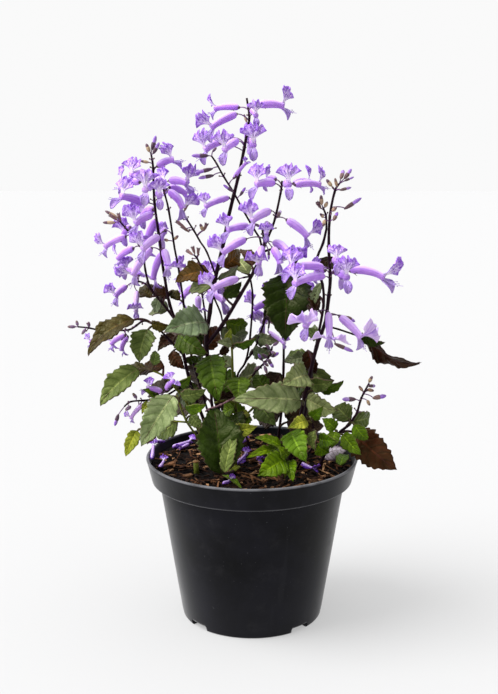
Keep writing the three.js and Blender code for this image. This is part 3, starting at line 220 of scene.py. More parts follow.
# Leafy stems. The foot is a real x and y, and the thickness is a radius at the foot and at the top. A branch
# has a radius at each end, and a leaf's row is base, tip, width, roll, arch, fold, teeth and shade.
LEAFY_STEMS = {
    "left_stem": {
        "foot": (-30, 6),
        "thick": (1.5, 1.1),
        "path": [
            (-38, 160, 8), (-48, 188, 6), (-54, 215, 2), (-58, 237, 0), (-64.5, 256, -3), (-69, 283, -6),
        ],
        "branches": [
            (1.1, 0.8, [(-54, 215, 2), (-64, 226, -3), (-74, 237, -9), (-81, 242, -11.5)]),
            (1.1, 0.8, [(-60, 243, -1), (-71, 258, 3), (-79, 268, 4), (-83, 283, 0), (-84, 298, -2)]),
            (1, 0.8, [(-48, 188, 6), (-50, 190, -6), (-58, 188, -14), (-65, 184, -18), (-70, 181, -20)]),
        ],
        "leaves": [
            ((-93, 244, -21), (-131, 217, -30), 23, 48, 0.12, 14, 4, "olive"),
            ((-82, 236, -14), (-90, 210, -24), 22, 22, 0.1, 18, 3, "sage"),
            ((-79, 241, -19), (-65, 238, -26), 11, 40, 0.1, 16, 2, "olive"),
            ((-58, 232, -5), (-37, 217, -26), 21, 15, 0.1, 20, 3, "green"),
            ((-76, 267, 20), (-91, 261, 42), 15, 50, 0.1, 14, 2, "olive"),
            ((-73, 263, 16), (-62, 266, 24), 15, 67, 0.1, 14, 2, "olive"),
            ((-66, 252, 8), (-80, 250, 30), 16, 40, 0.1, 14, 2, "grey"),
            ((-79, 262, 8), (-88, 268, 20), 10, 30, 0.08, 16, 3, "olive"),
            ((-68, 262, 10), (-80, 271, 20), 12, 20, 0.08, 16, 3, "brown"),
            ((-72, 262, 4), (-76, 248, 14), 9, 25, 0.08, 16, 3, "grey"),
            ((-82, 177, -26), (-88, 168, -34), 7, 20, 0.08, 16, 2, "lime"),
            ((-76, 183, -24), (-85, 187, -34), 9, 20, 0.08, 16, 3, "fresh"),
        ],
    },
    "left_thin_stem": {
        "foot": (-24, 20),
        "thick": (0.95, 0.8),
        "path": [
            (-34, 165, 20), (-42, 192, 19), (-48, 215, 18), (-53, 252, 16), (-56.5, 280, 13),
            (-60, 300, 10),
        ],
        "leaves": [
            ((-45, 226, 22), (-34, 238, 36), 17, 20, 0.1, 16, 2, "dark"),
            ((-43, 190, 24), (-58, 176, 40), 24, 20, 0.12, 16, 3, "dark"),
            ((-46, 236, 22), (-62, 228, 42), 22, 25, 0.1, 16, 3, "brown"),
            ((-52, 212, 10), (-36, 216, 26), 13, 60, 0.08, 16, 3, "green"),
            ((-57, 260, 18), (-65, 267, 28), 9, 20, 0.08, 16, 3, "olive"),
            ((-60.7, 230.6, 16), (-74.2, 220.1, 4), 13, 30, 0.1, 18, 3, "maroon"),
            ((-64, 217.7, 8), (-53.9, 203.8, 2), 12, 20, 0.1, 18, 3, "brown"),
        ],
    },
    "left_low_branch": {
        "foot": (-31, -12),
        "thick": (1.1, 0.8),
        "path": [(-45, 158, -17), (-53, 178, -22), (-60, 187, -26), (-70, 198, -29), (-80, 203, -31)],
        "leaves": [
            ((-90, 204, -28), (-122, 175, -40), 23, 30, 0.1, 18, 3, "sage"),
            ((-84, 204, -26), (-108, 196, -8), 15, 50, 0.08, 12, 2, "olive"),
            ((-70, 206, -25), (-90, 200, -10), 15, 45, 0.1, 14, 2, "brown"),
            ((-62, 190, -20), (-84, 182, 6), 16, 40, 0.1, 14, 2, "maroon"),
            ((-58, 190, -28), (-49, 197, -34), 9, 30, 0.08, 16, 3, "fresh"),
            ((-78, 207, -32), (-76, 219, -24), 9, 20, 0.08, 16, 3, "sage"),
        ],
    },
    "main_stem": {
        "foot": (-18, -3),
        "thick": (1.9, 1.3),
        "path": [
            (-26, 165, 0), (-33, 200, 0), (-36, 225, -2), (-33, 250, -4), (-29.5, 272, -5),
            (-22, 305, -6), (-18, 325, -6),
        ],
        "branches": [
            (1.5, 0.95, [
                (-36, 223, -2), (-23, 240, -6), (-10, 262, -10), (2, 283, -13), (9.5, 302, -15),
                (12.5, 309, -16),
            ]),
            (0.9, 0.8, [(8, 299, -14.6), (6, 308, -14)]),
            (0.8, 0.75, [(9, 301, -15), (9.5, 305, -20)]),
            (0.9, 0.75, [(7.5, 297, -14.5), (19, 300, -20), (30, 297, -26), (36, 293, -30)]),
            (0.8, 0.75, [(-28.7, 280, -5), (-35, 297, 1), (-40, 305, 4)]),
            (0.8, 0.75, [(-30, 272, -5), (-35, 279, -14)]),
            (0.8, 0.75, [(-31, 264, -4), (-25, 250, -1), (-23, 241, -6)]),
            (0.8, 0.75, [(-1, 278, -12), (-5, 277.5, -16)]),
        ],
        "leaves": [
            ((-34, 282, 6), (-60, 275, 6), 22, 42, 0.1, 14, 3, "amber"),
            ((-32, 270, -4), (-50, 267, 8), 16, 40, 0.1, 14, 2, "pale"),
            ((-26, 276, -4), (-10, 286, 8), 13, 50, 0.08, 12, 2, "grey"),
            ((-22, 286, 2), (-9, 299, 22), 15, 30, 0.1, 14, 2, "amber"),
            ((0, 287, -6), (-8, 300, 18), 14, 40, 0.1, 14, 2, "brown"),
            ((-12, 262, -8), (-24, 273, 12), 14, 45, 0.1, 14, 2, "sage"),
            ((-36, 241, -12), (-68, 235, -34), 28, 24, 0.14, 16, 4, "grey"),
            ((-33, 215, -10), (-27, 178, -34), 27, 8, 0.12, 20, 4, "green"),
            ((-37, 220, 6), (-27, 239, 22), 16, 20, 0.1, 14, 2, "brown"),
            ((-20, 242, -8), (-3, 239, 4), 16, 35, 0.1, 14, 2, "green"),
            ((-24, 236, -4), (-4, 228, 24), 20, 18, 0.1, 14, 3, "grey"),
            ((29, 281, -32), (26, 228, -52), 40, 6, 0.12, 18, 5, "deep"),
            ((-22, 262, -10), (-8, 273, -8), 11, 20, 0.1, 16, 3, "dark"),
            ((-36, 216, 6), (-48, 219, 16), 9, 30, 0.08, 16, 3, "green"),
            ((-25, 216, 4), (-18, 223, 10), 8, 20, 0.08, 16, 2, "maroon"),
        ],
    },
    "middle_thin_stem": {
        "foot": (-2, 30),
        "thick": (0.9, 0.75),
        "path": [
            (-9, 165, 28), (-12, 196, 26), (-5, 210, 25), (-1.5, 230, 22), (0.5, 262, 18), (-2, 280, 14),
        ],
        "branches": [
            (0.8, 0.75, [(-5, 210, 25), (2, 220, 22), (7, 234, 18), (11, 246, 14)]),
        ],
        "leaves": [
            ((-3, 280, 16), (-12, 292, 32), 14, 25, 0.1, 14, 2, "pale"),
            ((0, 219, 26), (17, 219, 40), 13, 45, 0.1, 14, 2, "green"),
            ((1, 229, 30), (21, 229, 28), 14, 45, 0.1, 14, 2, "grey"),
            ((-10, 196, 30), (6, 203, 52), 22, 20, 0.1, 14, 3, "grey"),
            ((-12, 190, 30), (-30, 198, 40), 22, 8, 0.1, 14, 3, "green"),
            ((10, 246, 16), (24, 256, 24), 20, 20, 0.1, 14, 3, "deep"),
            ((1, 219, 14), (15, 215, 4), 12, 20, 0.1, 18, 3, "grey"),
            ((5, 230, 20), (20, 226, 8), 11, 20, 0.1, 18, 3, "grey"),
        ],
    },
    "olive_stem": {
        "foot": (-13, -21),
        "thick": (1.2, 0.8),
        "path": [(-12, 160, -18), (-15, 195, -16), (-16, 223, -14), (-18, 231, -13)],
        "branches": [
            (0.8, 0.75, [(-13, 176, -17), (-22, 178, -26), (-30, 176, -34)]),
            (0.8, 0.75, [(-15, 189, -16), (-6, 193, -12), (0, 198, -12)]),
        ],
        "leaves": [
            ((-25, 116.5, -66), (-31, 174, -36), 38, 10, 0.12, 22, 5, "dark"),
            ((-16, 224, -17), (-27, 226, -28), 8, 16, 0.1, 14, 2, "grey"),
            ((-14, 223, -18), (3, 228, -30), 9, 45, 0.1, 14, 2, "green"),
            ((-10, 197, -22), (-11, 179, -38), 20, 5, 0.1, 18, 3, "green"),
            ((-17, 206, -10), (-27, 212, 6), 13, 20, 0.1, 14, 2, "grey"),
            ((-12, 168, -22), (-8, 152, -36), 16, 20, 0.12, 16, 2, "dark"),
            ((-14, 172, -20), (-24, 166, -14), 12, 30, 0.08, 16, 3, "fresh"),
            ((-20.5, 227.4, -12), (-16.5, 236, -14), 6, 20, 0.1, 16, 2, "lime"),
            ((-22, 118, -71), (-13, 151, -56), 13, -20, 0.1, 20, 4, "sage"),
            ((-16, 152, -42), (3, 156, -50), 13, 10, 0.1, 16, 3, "lime"),
        ],
    },
    "right_stem": {
        "foot": (30, -6),
        "thick": (1.6, 1.3),
        "path": [
            (37, 155, -8), (41, 176, -10), (46, 200, -14), (51, 222, -20), (54.5, 232, -24),
            (58, 243, -29),
        ],
        "branches": [
            (0.8, 0.75, [(57, 239, -27), (68, 236, -22), (80, 232, -17), (88, 230, -13)]),
        ],
        "leaves": [
            ((89, 230, -3), (132, 206, -14), 24, 64, 0.12, 14, 4, "maroon"),
            ((85, 232, -16), (104, 224, -26), 12, 50, 0.1, 14, 2, "dark"),
            ((44, 219, -5), (50, 199, 4), 13, 20, 0.1, 14, 2, "maroon"),
            ((44, 199, -18), (25, 192, -40), 24, 12, 0.1, 18, 3, "pale"),
            ((46, 192, -14), (64, 193, -30), 15, 30, 0.1, 16, 2, "sage"),
            ((54, 186, -12), (73, 193, -16), 11, 40, 0.1, 14, 2, "green"),
            ((39, 178, -22), (-13, 179, -56), 27, 12, 0.1, 16, 4, "pale"),
            ((44, 180, -12), (67, 169, -24), 22, 30, 0.12, 18, 3, "pale"),
        ],
    },
    "right_back_stem": {
        "foot": (36, 14),
        "thick": (1.2, 0.9),
        "path": [
            (43, 170, 12), (47, 200, 10), (52, 230, 6), (56, 255, 4), (55, 272, 2), (50, 289, -1),
            (55, 304, -6), (57.5, 315, -9),
        ],
        "leaves": [
            ((52, 291, 2), (70, 290, 16), 16, 48, 0.1, 14, 2, "maroon"),
            ((53, 262, 8), (44, 250, 24), 16, 30, 0.1, 14, 2, "maroon"),
            ((51, 231, 10), (42, 235, 24), 13, 30, 0.1, 14, 2, "grey"),
            ((46, 212, 14), (25, 212, 34), 15, 30, 0.1, 14, 2, "sage"),
            ((48, 198, 13), (36, 188, 48), 24, 32, 0.1, 14, 3, "green"),
            ((50, 204, 17), (56, 184, 48), 24, -4, 0.1, 14, 3, "sage"),
            ((44, 213, 6), (27, 210, -4), 12, 15, 0.1, 18, 3, "grey"),
            ((51, 229, 2), (42, 237, -6), 10, 20, 0.1, 18, 3, "sage"),
            ((54, 273, 8), (47, 250, 20), 9, 30, 0.12, 18, 3, "grey"),
            ((52, 252, 10), (44, 263, 18), 9, 30, 0.12, 18, 3, "brown"),
        ],
    },
    "right_low_stem": {
        "foot": (54, -16),
        "thick": (1.3, 0.9),
        "path": [(62, 140, -18), (71, 152, -20), (78, 158, -21), (81, 163, -21)],
        "branches": [
            (0.8, 0.75, [(64, 143, -18), (68, 151, -27), (68, 153, -29)]),
        ],
        "leaves": [
            ((78, 162, -17), (66, 174, -2), 19, 10, 0.1, 16, 3, "sage"),
            ((80, 161, -8), (95, 165, 6), 18, 30, 0.1, 16, 3, "sage"),
            ((82, 158, -31), (93, 145, -30), 13, 20, 0.12, 16, 2, "fresh"),
            ((67, 154, -25), (57, 163, -26), 12, 15, 0.1, 16, 2, "fresh"),
            ((67, 152, -35), (64, 139, -42), 12, 10, 0.1, 16, 2, "fresh"),
            ((73, 150, -26), (87, 133, -40), 14, 12, 0.1, 16, 2, "fresh"),
            ((81, 152, -16), (116, 120, -32), 29, 12, 0.1, 14, 4, "brown"),
        ],
    },
    "front_stem": {
        "foot": (26, -38),
        "thick": (0.9, 0.75),
        "path": [(27.5, 128, -42), (27, 140, -41), (30, 151, -37)],
        "leaves": [
            ((27, 129, -52), (6, 116, -66), 22, 5, 0.1, 16, 3, "young"),
            ((30, 128, -47), (33, 111, -64), 12, 5, 0.12, 18, 2, "young"),
            ((29, 131, -50), (22, 139, -54), 11, 22, 0.1, 16, 2, "young"),
            ((31, 152, -40), (43, 128, -62), 22, 4, 0.12, 18, 3, "fresh"),
            ((24, 139, -49), (3, 148, -50), 10, 42, 0.12, 16, 2, "young"),
            ((22, 137, -42), (-4, 131, -60), 9, 25, 0.14, 16, 2, "young"),
        ],
    },
    "front_right_stem": {
        "foot": (36, -20),
        "thick": (0.9, 0.75),
        "path": [(50, 141, -34), (49, 156, -36), (47, 162, -37)],
        "leaves": [
            ((44, 161, -39), (30, 156, -52), 12, 10, 0.12, 18, 2, "lime"),
            ((48, 164, -40), (56, 172, -52), 10, 8, 0.1, 16, 2, "fresh"),
            ((50, 153, -43), (50, 137, -54), 12, 45, 0.1, 20, 2, "sage"),
            ((54, 146, -36), (67, 144, -50), 13, 15, 0.1, 16, 2, "fresh"),
            ((52, 141, -24), (62, 134, -24), 14, 22, 0.1, 16, 2, "young"),
        ],
    },
    "front_left_stem": {
        "foot": (-27, -27),
        "thick": (1.1, 0.8),
        "path": [(-38, 140, -34), (-52, 160, -41), (-60, 182, -43)],
        "branches": [
            (0.8, 0.75, [(-52, 160, -41), (-70, 161, -36), (-82, 157, -34), (-91, 154, -34)]),
        ],
        "leaves": [
            ((-63, 182, -47), (-89, 141, -66), 26, 6, 0.12, 18, 4, "pale"),
            ((-57, 182, -42), (-37, 186, -46), 13, 30, 0.1, 16, 2, "sage"),
            ((-53, 171, -48), (-37, 174, -52), 10, 35, 0.1, 16, 2, "fresh"),
            ((-49, 166, -40), (-40, 155, -50), 11, 15, 0.1, 16, 2, "sage"),
            ((-60, 160, -32), (-77, 147, -24), 17, 15, 0.1, 16, 2, "sage"),
            ((-92, 153, -36), (-102, 132, -48), 12, 10, 0.12, 16, 2, "lime"),
            ((-78, 150, -36), (-84, 143, -44), 7, 20, 0.1, 18, 2, "brown"),
        ],
    },
    "centre_stem": {
        "foot": (-15, 13),
        "thick": (1, 0.8),
        "path": [(-14, 155, 11), (-7, 164, 8), (1, 172, 3), (10, 184, -3)],
        "leaves": [
            ((11, 187, 0), (2, 199, 8), 16, 8, 0.1, 16, 2, "green"),
            ((13, 187, -4), (36, 186, 4), 15, 20, 0.1, 16, 2, "fresh"),
            ((6, 176, -4), (18, 158, -22), 20, 10, 0.12, 16, 3, "sage"),
            ((-2, 166, 2), (-16, 154, -8), 16, 20, 0.12, 16, 2, "fresh"),
            ((-12, 158, 8), (-34, 160, 18), 20, 20, 0.12, 16, 3, "green"),
            ((-8, 165, 2), (-20, 177, -14), 12, 20, 0.1, 18, 3, "young"),
            ((-3, 168, 4), (-15, 163, -12), 10, 20, 0.1, 18, 3, "lime"),
        ],
    },
    # The two stems at the back carry mostly dark and deep leaves: partly their own dark green and partly
    # painted shade that sets them back
    "back_left_stem": {
        "foot": (-30, 44),
        "thick": (1.2, 0.9),
        "path": [(-32, 175, 46), (-34, 205, 48), (-36, 236, 46), (-37, 250, 45)],
        "leaves": [
            ((-40, 236, 44), (-66, 234, 66), 28, 20, 0.12, 16, 3, "dark"),
            ((-33, 212, 51), (-44, 190, 72), 28, 10, 0.12, 16, 3, "dark"),
            ((-30, 186, 47), (-8, 178, 70), 26, 15, 0.12, 16, 3, "dark"),
            ((-36, 180, 51), (-66, 170, 60), 26, 20, 0.12, 16, 3, "deep"),
            ((-32, 164, 53), (-27, 156, 72), 22, 15, 0.12, 16, 3, "deep"),
        ],
    },
    "back_right_stem": {
        "foot": (22, 46),
        "thick": (1.2, 0.9),
        "path": [(24, 175, 46), (25, 205, 46), (25, 228, 44), (25, 240, 43)],
        "leaves": [
            ((22, 200, 44), (14, 178, 66), 28, 22, 0.12, 16, 3, "dark"),
            ((28, 196, 48), (52, 186, 64), 26, 18, 0.12, 16, 3, "dark"),
            ((26, 172, 48), (50, 168, 54), 26, 30, 0.12, 16, 3, "green"),
            ((22, 168, 50), (4, 164, 70), 24, 3, 0.12, 16, 3, "deep"),
            ((28, 160, 43), (58, 156, 50), 22, 20, 0.12, 16, 3, "green"),
            ((24, 232, 48), (27, 262, 62), 26, 10, 0.12, 16, 3, "deep"),
        ],
    },
}

# Sprays. A flower's row is base, mouth and what differs from an ordinary one, and a bud's is base, tip and
# half thickness where that differs.
SPRAYS = {
    "main_spray": {
        "thick": (1.3, 0.75),
        "path": [
            (-18, 325, -6), (-14, 341, -6), (-10.5, 355, -6), (-6, 376, -6), (-3.5, 391, -5),
            (-2, 400, -4), (-4, 414, -3),
        ],
        "flowers": [
            ((-10, 407, 2), (-28, 406, 10), {"fan": 30, "size": 0.8}),
            ((-12, 402, -6), (-31, 392, -14), {"fan": 42}),
            ((0, 404, -8), (3, 401, -24), {"size": 0.72, "lip": 70}),
            ((5, 409, -9), (24, 408, -6), {"fan": 56}),
            ((0, 382, -9), (1, 379, -26), {"lip": 76}),
            ((-11, 382, -10), (-21, 375, -22)),
            ((-18, 384, 8), (-36, 375, 1), {"fan": 79}),
            ((-18, 339, -7), (-36, 332, -16), {"size": 0.72}),
            ((-4, 386, 2), (-2, 382, 18), {"size": 0.9}),
        ],
        "buds": [((-24, 380, -9), (-27, 389, -9)), ((-4, 396, 0), (-6, 402, 1), 1)],
    },
    "leaning_spray": {
        "path": [
            (6, 308, -14), (1.5, 315, -14), (-7, 330, -13.5), (-14, 343, -13), (-21.5, 355, -13.5),
            (-27, 365, -14), (-31, 371, -15),
        ],
        "flowers": [
            ((-3, 317, -15), (-19, 314, -25), {"fan": 46, "size": 0.9}),
            ((-14, 354, -15), (-4, 366, -18), {"size": 0.3, "fan": 20, "lip": 15, "bulge": 0.5}),
        ],
        "buds": [
            ((-34, 371, -16), (-46, 371, -20), 1.7), ((-31, 361, -16), (-43.5, 358, -20), 1.7),
            ((-30, 356, -16), (-41, 354, -18), 1.6), ((-9, 341, -15), (-5, 347, -16), 1.2),
            ((-30, 374, -15), (-27, 377, -16), 1), ((-15, 344, -16), (-22, 349, -18), 1.2),
        ],
    },
    "top_right_spray": {
        "thick": (0.9, 0.75),
        "path": [(12.5, 309, -16), (15, 315, -17), (18, 324, -18), (22, 343, -20), (23, 352, -20)],
        "flowers": [
            ((17, 350, -22), (3, 349, -30), {"lip": 60}),
            ((18, 353, -14), (11, 352, 2), {"size": 0.75, "fan": 78}),
            ((26, 349, -25), (28, 349, -40), {"lip": 60}),
            ((33, 349, -25), (52, 349, -16), {"fan": 56, "lip": 40, "size": 0.85}),
            ((32, 350, -13), (44, 351, 0), {"size": 0.8}),
            ((27, 322, -26), (43, 309, -26), {"fan": 61}),
            ((14, 329, -22), (0, 321, -30)),
            ((11.5, 320, -22), (11, 311, -30), {"size": 0.65, "facing": 0.2}),
        ],
        "buds": [((20, 325, -24), (22, 329, -14), 1.5)],
    },
    "junction_spray": {
        "path": [(9.5, 305, -20), (8.5, 311, -24), (7.5, 318, -26)],
        "flowers": [
            ((17, 304, -17), (31, 291, -38), {"bulge": 4, "fan": 40}),
            ((16, 300, -34), (22, 288, -38), {"facing": 0.2}),
            ((8, 301, -28), (5, 287, -36), {"facing": 0.2}),
            ((-5, 307, -24), (-23, 296, -30), {"fan": 60}),
        ],
        "buds": [((6, 317, -27), (2, 319, -28), 1.1), ((13, 298, -28), (13, 291, -30), 1.1)],
    },
    "inner_spray": {
        "path": [(-5, 277.5, -16), (-7, 277, -18)],
        "flowers": [
            ((-11, 276, -19), (-31, 268, -27), {"fan": 50}),
        ],
    },
    "spent_spray": {
        "path": [(-40, 305, 4), (-45, 314, 6), (-50, 322, 8), (-54, 328, 9)],
        "buds": [
            ((-38, 314, 6), (-40, 319, 6), 1.5), ((-37, 314, 4), (-35, 319, 3), 1.5),
            ((-51, 315, 5), (-58, 321, 9), 1.5), ((-54, 330, 3), (-57, 335, 1)),
            ((-52, 329, 11), (-50, 334, 7)), ((-49, 313, 9), (-54, 317, 11), 1.5),
        ],
    },
    "small_bud_spray": {
        "path": [(-35, 279, -14), (-40, 287, -16), (-42.5, 292, -17), (-45, 295, -17)],
        "buds": [
            ((-46, 295, -14), (-50, 298, -6)), ((-44.5, 296, -18), (-46, 301, -19)),
            ((-42, 295, -17), (-41.5, 300, -17)),
        ],
    },
    "right_spray": {
        "thick": (1.3, 0.75),
        "path": [
            (58, 243, -29), (60, 262, -34), (61, 277, -36), (59.5, 300, -36), (60, 325, -34),
            (63.5, 344, -32), (67, 350, -31),
        ],
        "flowers": [
            ((55, 285, -43), (30, 284, -56), {"bulge": 2}),
            ((56, 278, -40), (33, 272, -64), {"bulge": 2, "lip": 60}),
            ((64, 290, -44), (66, 290, -60), {"lip": 70, "size": 0.8}),
            ((68, 280, -46), (74, 277, -62), {"lip": 70}),
            ((76, 283, -45), (103, 277, -46), {"fan": 28, "lip": 34, "bulge": 2.5, "size": 1.3}),
            ((50, 249, -42), (42, 238, -56), {"fan": 50, "wide": 1.35}),
            ((60, 249, -40), (61, 228, -48), {"facing": 0.5, "fan": 60, "wide": 1.7}),
            ((69, 246, -38), (86, 229, -42), {"fan": 55, "lip": 50, "wide": 1.45}),
            ((64, 282, -33), (70, 278, -14), {"size": 0.9, "facing": 0}),
            ((57, 283, -28), (50, 281, -16), {"size": 0.8}),
        ],
        "buds": [
            ((72, 331, -29), (84, 339, -34), 1.7), ((68, 354, -37), (70, 360, -27), 1.6),
            ((71, 354, -36), (76, 361, -34), 1.6), ((71, 352, -29), (78, 355, -28), 1),
            ((68, 345, -38), (76, 347, -32), 1.2), ((61, 348, -33), (57, 353, -34), 1.6),
            ((62, 329, -38), (65, 332, -40), 1.5), ((63, 322, -42), (66, 328, -38), 1.5),
            ((66, 224, -40), (80, 218, -42), 1.6), ((65, 348, -34), (63.5, 354, -36), 1.3),
            ((56, 322, -38), (55, 317, -40)), ((75, 246, -32), (81, 242, -32), 1.3),
        ],
    },
    "right_back_spray": {
        "path": [(57.5, 315, -9), (57, 325, -11), (54.5, 332, -12)],
        "buds": [
            ((53.5, 334, -12), (53, 341, -13), 1.7), ((53, 331, -6), (50.5, 335, -13), 1.5),
            ((56, 332, -13), (58, 336, -10), 1.5), ((55, 324, -13), (52.5, 327, -15), 1.3),
        ],
    },
    "left_spray": {
        "thick": (1.1, 0.75),
        "path": [
            (-69, 283, -6), (-72, 310, -8), (-75, 336, -8), (-75.5, 361, -6), (-76, 367, -5.5),
            (-77, 373, -5),
        ],
        "flowers": [
            ((-72, 363, -5), (-60, 368, -2), {"fan": 80, "size": 0.9}),
            ((-84, 335, -13), (-101, 340, -24)),
            ((-86, 351, -2), (-100, 350, 8), {"size": 0.9}),
            ((-79, 357, -7), (-93, 356, -16), {"fan": 84, "size": 0.9}),
            ((-78, 347, -8), (-82, 345, -30), {"lip": 70}),
            ((-72, 342, -14), (-71, 340, -28), {"lip": 70, "size": 0.85}),
            ((-77, 326, -16), (-90, 319, -24)),
            ((-72, 309, -16), (-85, 299, -26)),
            ((-78, 300, -8), (-93, 279, -10), {"fan": 52}),
            ((-68.5, 299, -17), (-65, 284, -20), {"facing": 0.3}),
            ((-76, 330, 3), (-84, 326, 18), {"facing": 0}),
            ((-73, 352, 2), (-68, 350, 18), {"size": 0.9}),
            ((-74, 322, 0), (-82, 302, 8), {"fan": 60}),
            ((-70, 296, 2), (-77, 276, 10), {"fan": 50, "size": 0.9}),
        ],
        "buds": [
            ((-78, 374, -5), (-80.5, 380, -5), 1.6), ((-76, 376, -5), (-73, 386, -5), 1.8),
            ((-75, 373, -7), (-70.5, 381, -8), 1.6), ((-79, 366, -7), (-85, 367, -8), 1.3),
        ],
    },
    "left_thin_spray": {
        "path": [(-60, 300, 10), (-64, 329, 7), (-67, 342, 4), (-68.5, 347, 3)],
        "flowers": [
            ((-63, 352, -1), (-50, 350, -6), {"fan": 48}),
            ((-64, 344, -4), (-53, 331, -6), {"bulge": 2}),
            ((-63, 347, 5), (-51, 342, 18), {"size": 0.85}),
            ((-67, 314, 15), (-70, 308, 28), {"size": 0.85, "facing": 0}),
        ],
        "buds": [((-65, 306, 8), (-68, 307, 7), 1.3), ((-60, 307, 9), (-57, 310, 9), 1.3)],
    },
    "left_outer_spray": {
        "path": [(-84, 298, -2), (-90, 306, -1), (-97, 315, 0), (-102, 321, 1)],
        "flowers": [
            ((-98, 309, -10), (-114, 301, -8), {"fan": 50, "size": 0.8}),
            ((-94, 316, 8), (-99, 311, 18), {"size": 0.85, "facing": 0}),
            ((-92, 300, 4), (-104, 292, 14), {"size": 0.8}),
        ],
        "buds": [
            ((-104, 322, 1), (-109.5, 326, 1), 1.5), ((-104, 324, 2), (-113, 329, 3), 1.5),
            ((-106, 320, 0), (-115, 320, -1), 1.5), ((-101, 320, 3), (-103, 327, 4)),
        ],
    },
    "left_inner_spray": {
        "path": [(-79.2, 268.1, 4.3), (-83, 272, 10), (-88, 274, 13), (-94, 273, 12)],
        "flowers": [
            ((-98, 270, 10), (-107, 262, 6), {"size": 0.8}),
            ((-90, 266, 24), (-91, 250, 13), {"size": 0.7, "facing": 0.2}),
            ((-88, 279, 15), (-98, 283, 32), {"size": 0.8, "facing": 0}),
        ],
    },
    "left_low_spray": {
        "path": [
            (-81.4, 242.2, -11.5), (-86, 242.5, -10), (-91, 239, -7.5), (-97, 235.5, -4), (-110, 235, -2),
            (-119, 235, -2), (-128, 237, -3), (-137, 238, -4),
        ],
        "flowers": [
            ((-100, 231, -7), (-111, 224, -4), {"size": 0.65}),
            ((-98, 230, 5), (-103, 219, 6), {"size": 0.6, "facing": 0.2}),
            ((-116, 231, 6), (-128, 225, 6), {"size": 0.5}),
        ],
        "buds": [
            ((-131, 236, -7), (-134, 232, -5), 1.3), ((-139, 238, -4), (-145, 238, -4)),
            ((-104, 238, -10), (-106, 245, -17), 1.5), ((-128, 238, -4), (-128.5, 242, -5), 1.3),
            ((-137, 239, -4), (-138, 243, -4), 1.3),
        ],
    },
    "hanging_spray": {
        "path": [(-70, 181, -20), (-78, 179, -22), (-87, 178, -24), (-97, 177, -26), (-102, 173, -27)],
        "flowers": [
            ((-86, 175, -26), (-97, 163, -26), {"size": 0.45}),
            ((-72, 185, -29), (-84, 188, -30), {"size": 0.6}),
            ((-68, 187, -33), (-62, 194, -39), {"size": 0.55}),
        ],
        "buds": [
            ((-107, 166, -28), (-110, 157, -29), 1.6), ((-97, 173, -29), (-101, 170, -26), 1.6),
            ((-92, 180, -26), (-95, 184, -28)), ((-90, 174, -24), (-92, 168, -24), 1.5),
        ],
    },
    "low_right_spray": {
        "thick": (0.9, 0.75),
        "path": [(81, 163, -21), (84, 168, -21), (86.5, 178, -21), (89, 184, -21), (93, 192, -21)],
        "buds": [
            ((97, 180, -28), (107, 182, -27), 1.9), ((82, 179, -24), (72, 179, -28), 1.9),
            ((92, 178, -26), (94, 174, -24)), ((92, 187, -16), (97, 186, -15), 1.5),
            ((93, 190, -26), (98, 190, -19)), ((93, 193, -21), (95.5, 198, -21), 1.5),
            ((88, 186, -20), (85, 190, -19), 1.3),
        ],
    },
    "young_spray": {
        "path": [(11, 246, 14), (12.5, 246, 11), (13.5, 242, 7), (13, 237, 5)],
        "flowers": [
            ((13, 234, 3), (26, 224, -6), {"size": 0.4, "bulge": 0.5}),
        ],
    },
    "centre_spray": {
        "path": [(0, 198, -12), (5, 204, -12), (10, 209, -12), (14, 215, -12), (16, 222, -12)],
        "buds": [
            ((10, 206, -14), (12, 200, -16)), ((13, 211, -14), (17, 205, -16), 1.5),
            ((8, 211, -13), (5, 216, -18), 1.3), ((16, 214, -7), (21, 217, -15), 1.5),
            ((17, 223, -15), (21, 226, -13)), ((14, 220, -12), (11, 224, -13), 1.3),
            ((6, 206, -12), (2, 203, -14), 1.3), ((9, 210, -12), (13, 206, -14)),
            ((12, 213, -12), (8, 216, -14)), ((15, 218, -12), (19, 216, -14), 1.3),
            ((11, 211, -12), (15, 211, -13), 1.3),
        ],
    },
    "back_left_spray": {
        "path": [(-37, 250, 45), (-39, 264, 44), (-41, 280, 43)],
        "flowers": [
            ((-42, 262, 30), (-42, 252, 30), {"size": 0.9}),
            ((-34, 266, 45), (-22, 258, 36)),
            ((-43, 282, 46), (-55, 280, 54), {"facing": 0}),
            ((-38, 279, 45), (-34, 276, 66), {"facing": 0}),
            ((-44, 270, 50), (-54, 262, 62), {"size": 0.9}),
        ],
        "buds": [((-41, 282, 43), (-42, 288, 43))],
    },
    "back_right_spray": {
        "path": [(25, 240, 43), (24, 256, 42), (24, 270, 41)],
        "flowers": [
            ((16, 258, 36), (2, 252, 38)),
            ((30, 262, 46), (42, 262, 58), {"facing": 0}),
            ((22, 266, 50), (18, 262, 66), {"facing": 0}),
            ((30, 268, 35), (40, 272, 46), {"size": 0.8}),
            ((18, 250, 38), (8, 240, 32), {"size": 0.9}),
        ],
        "buds": [((24, 271, 41), (24, 276, 41))],
    },
}


def place(spot):
    """The real place, in metres, of an (across, up, back) row."""
    across, up, back = spot
    reach = (back * MM - EYE.y) / -EYE.y
    return Vector((across * MM * reach, back * MM, EYE.z + (up * MM - EYE.z) * reach))


# Materials


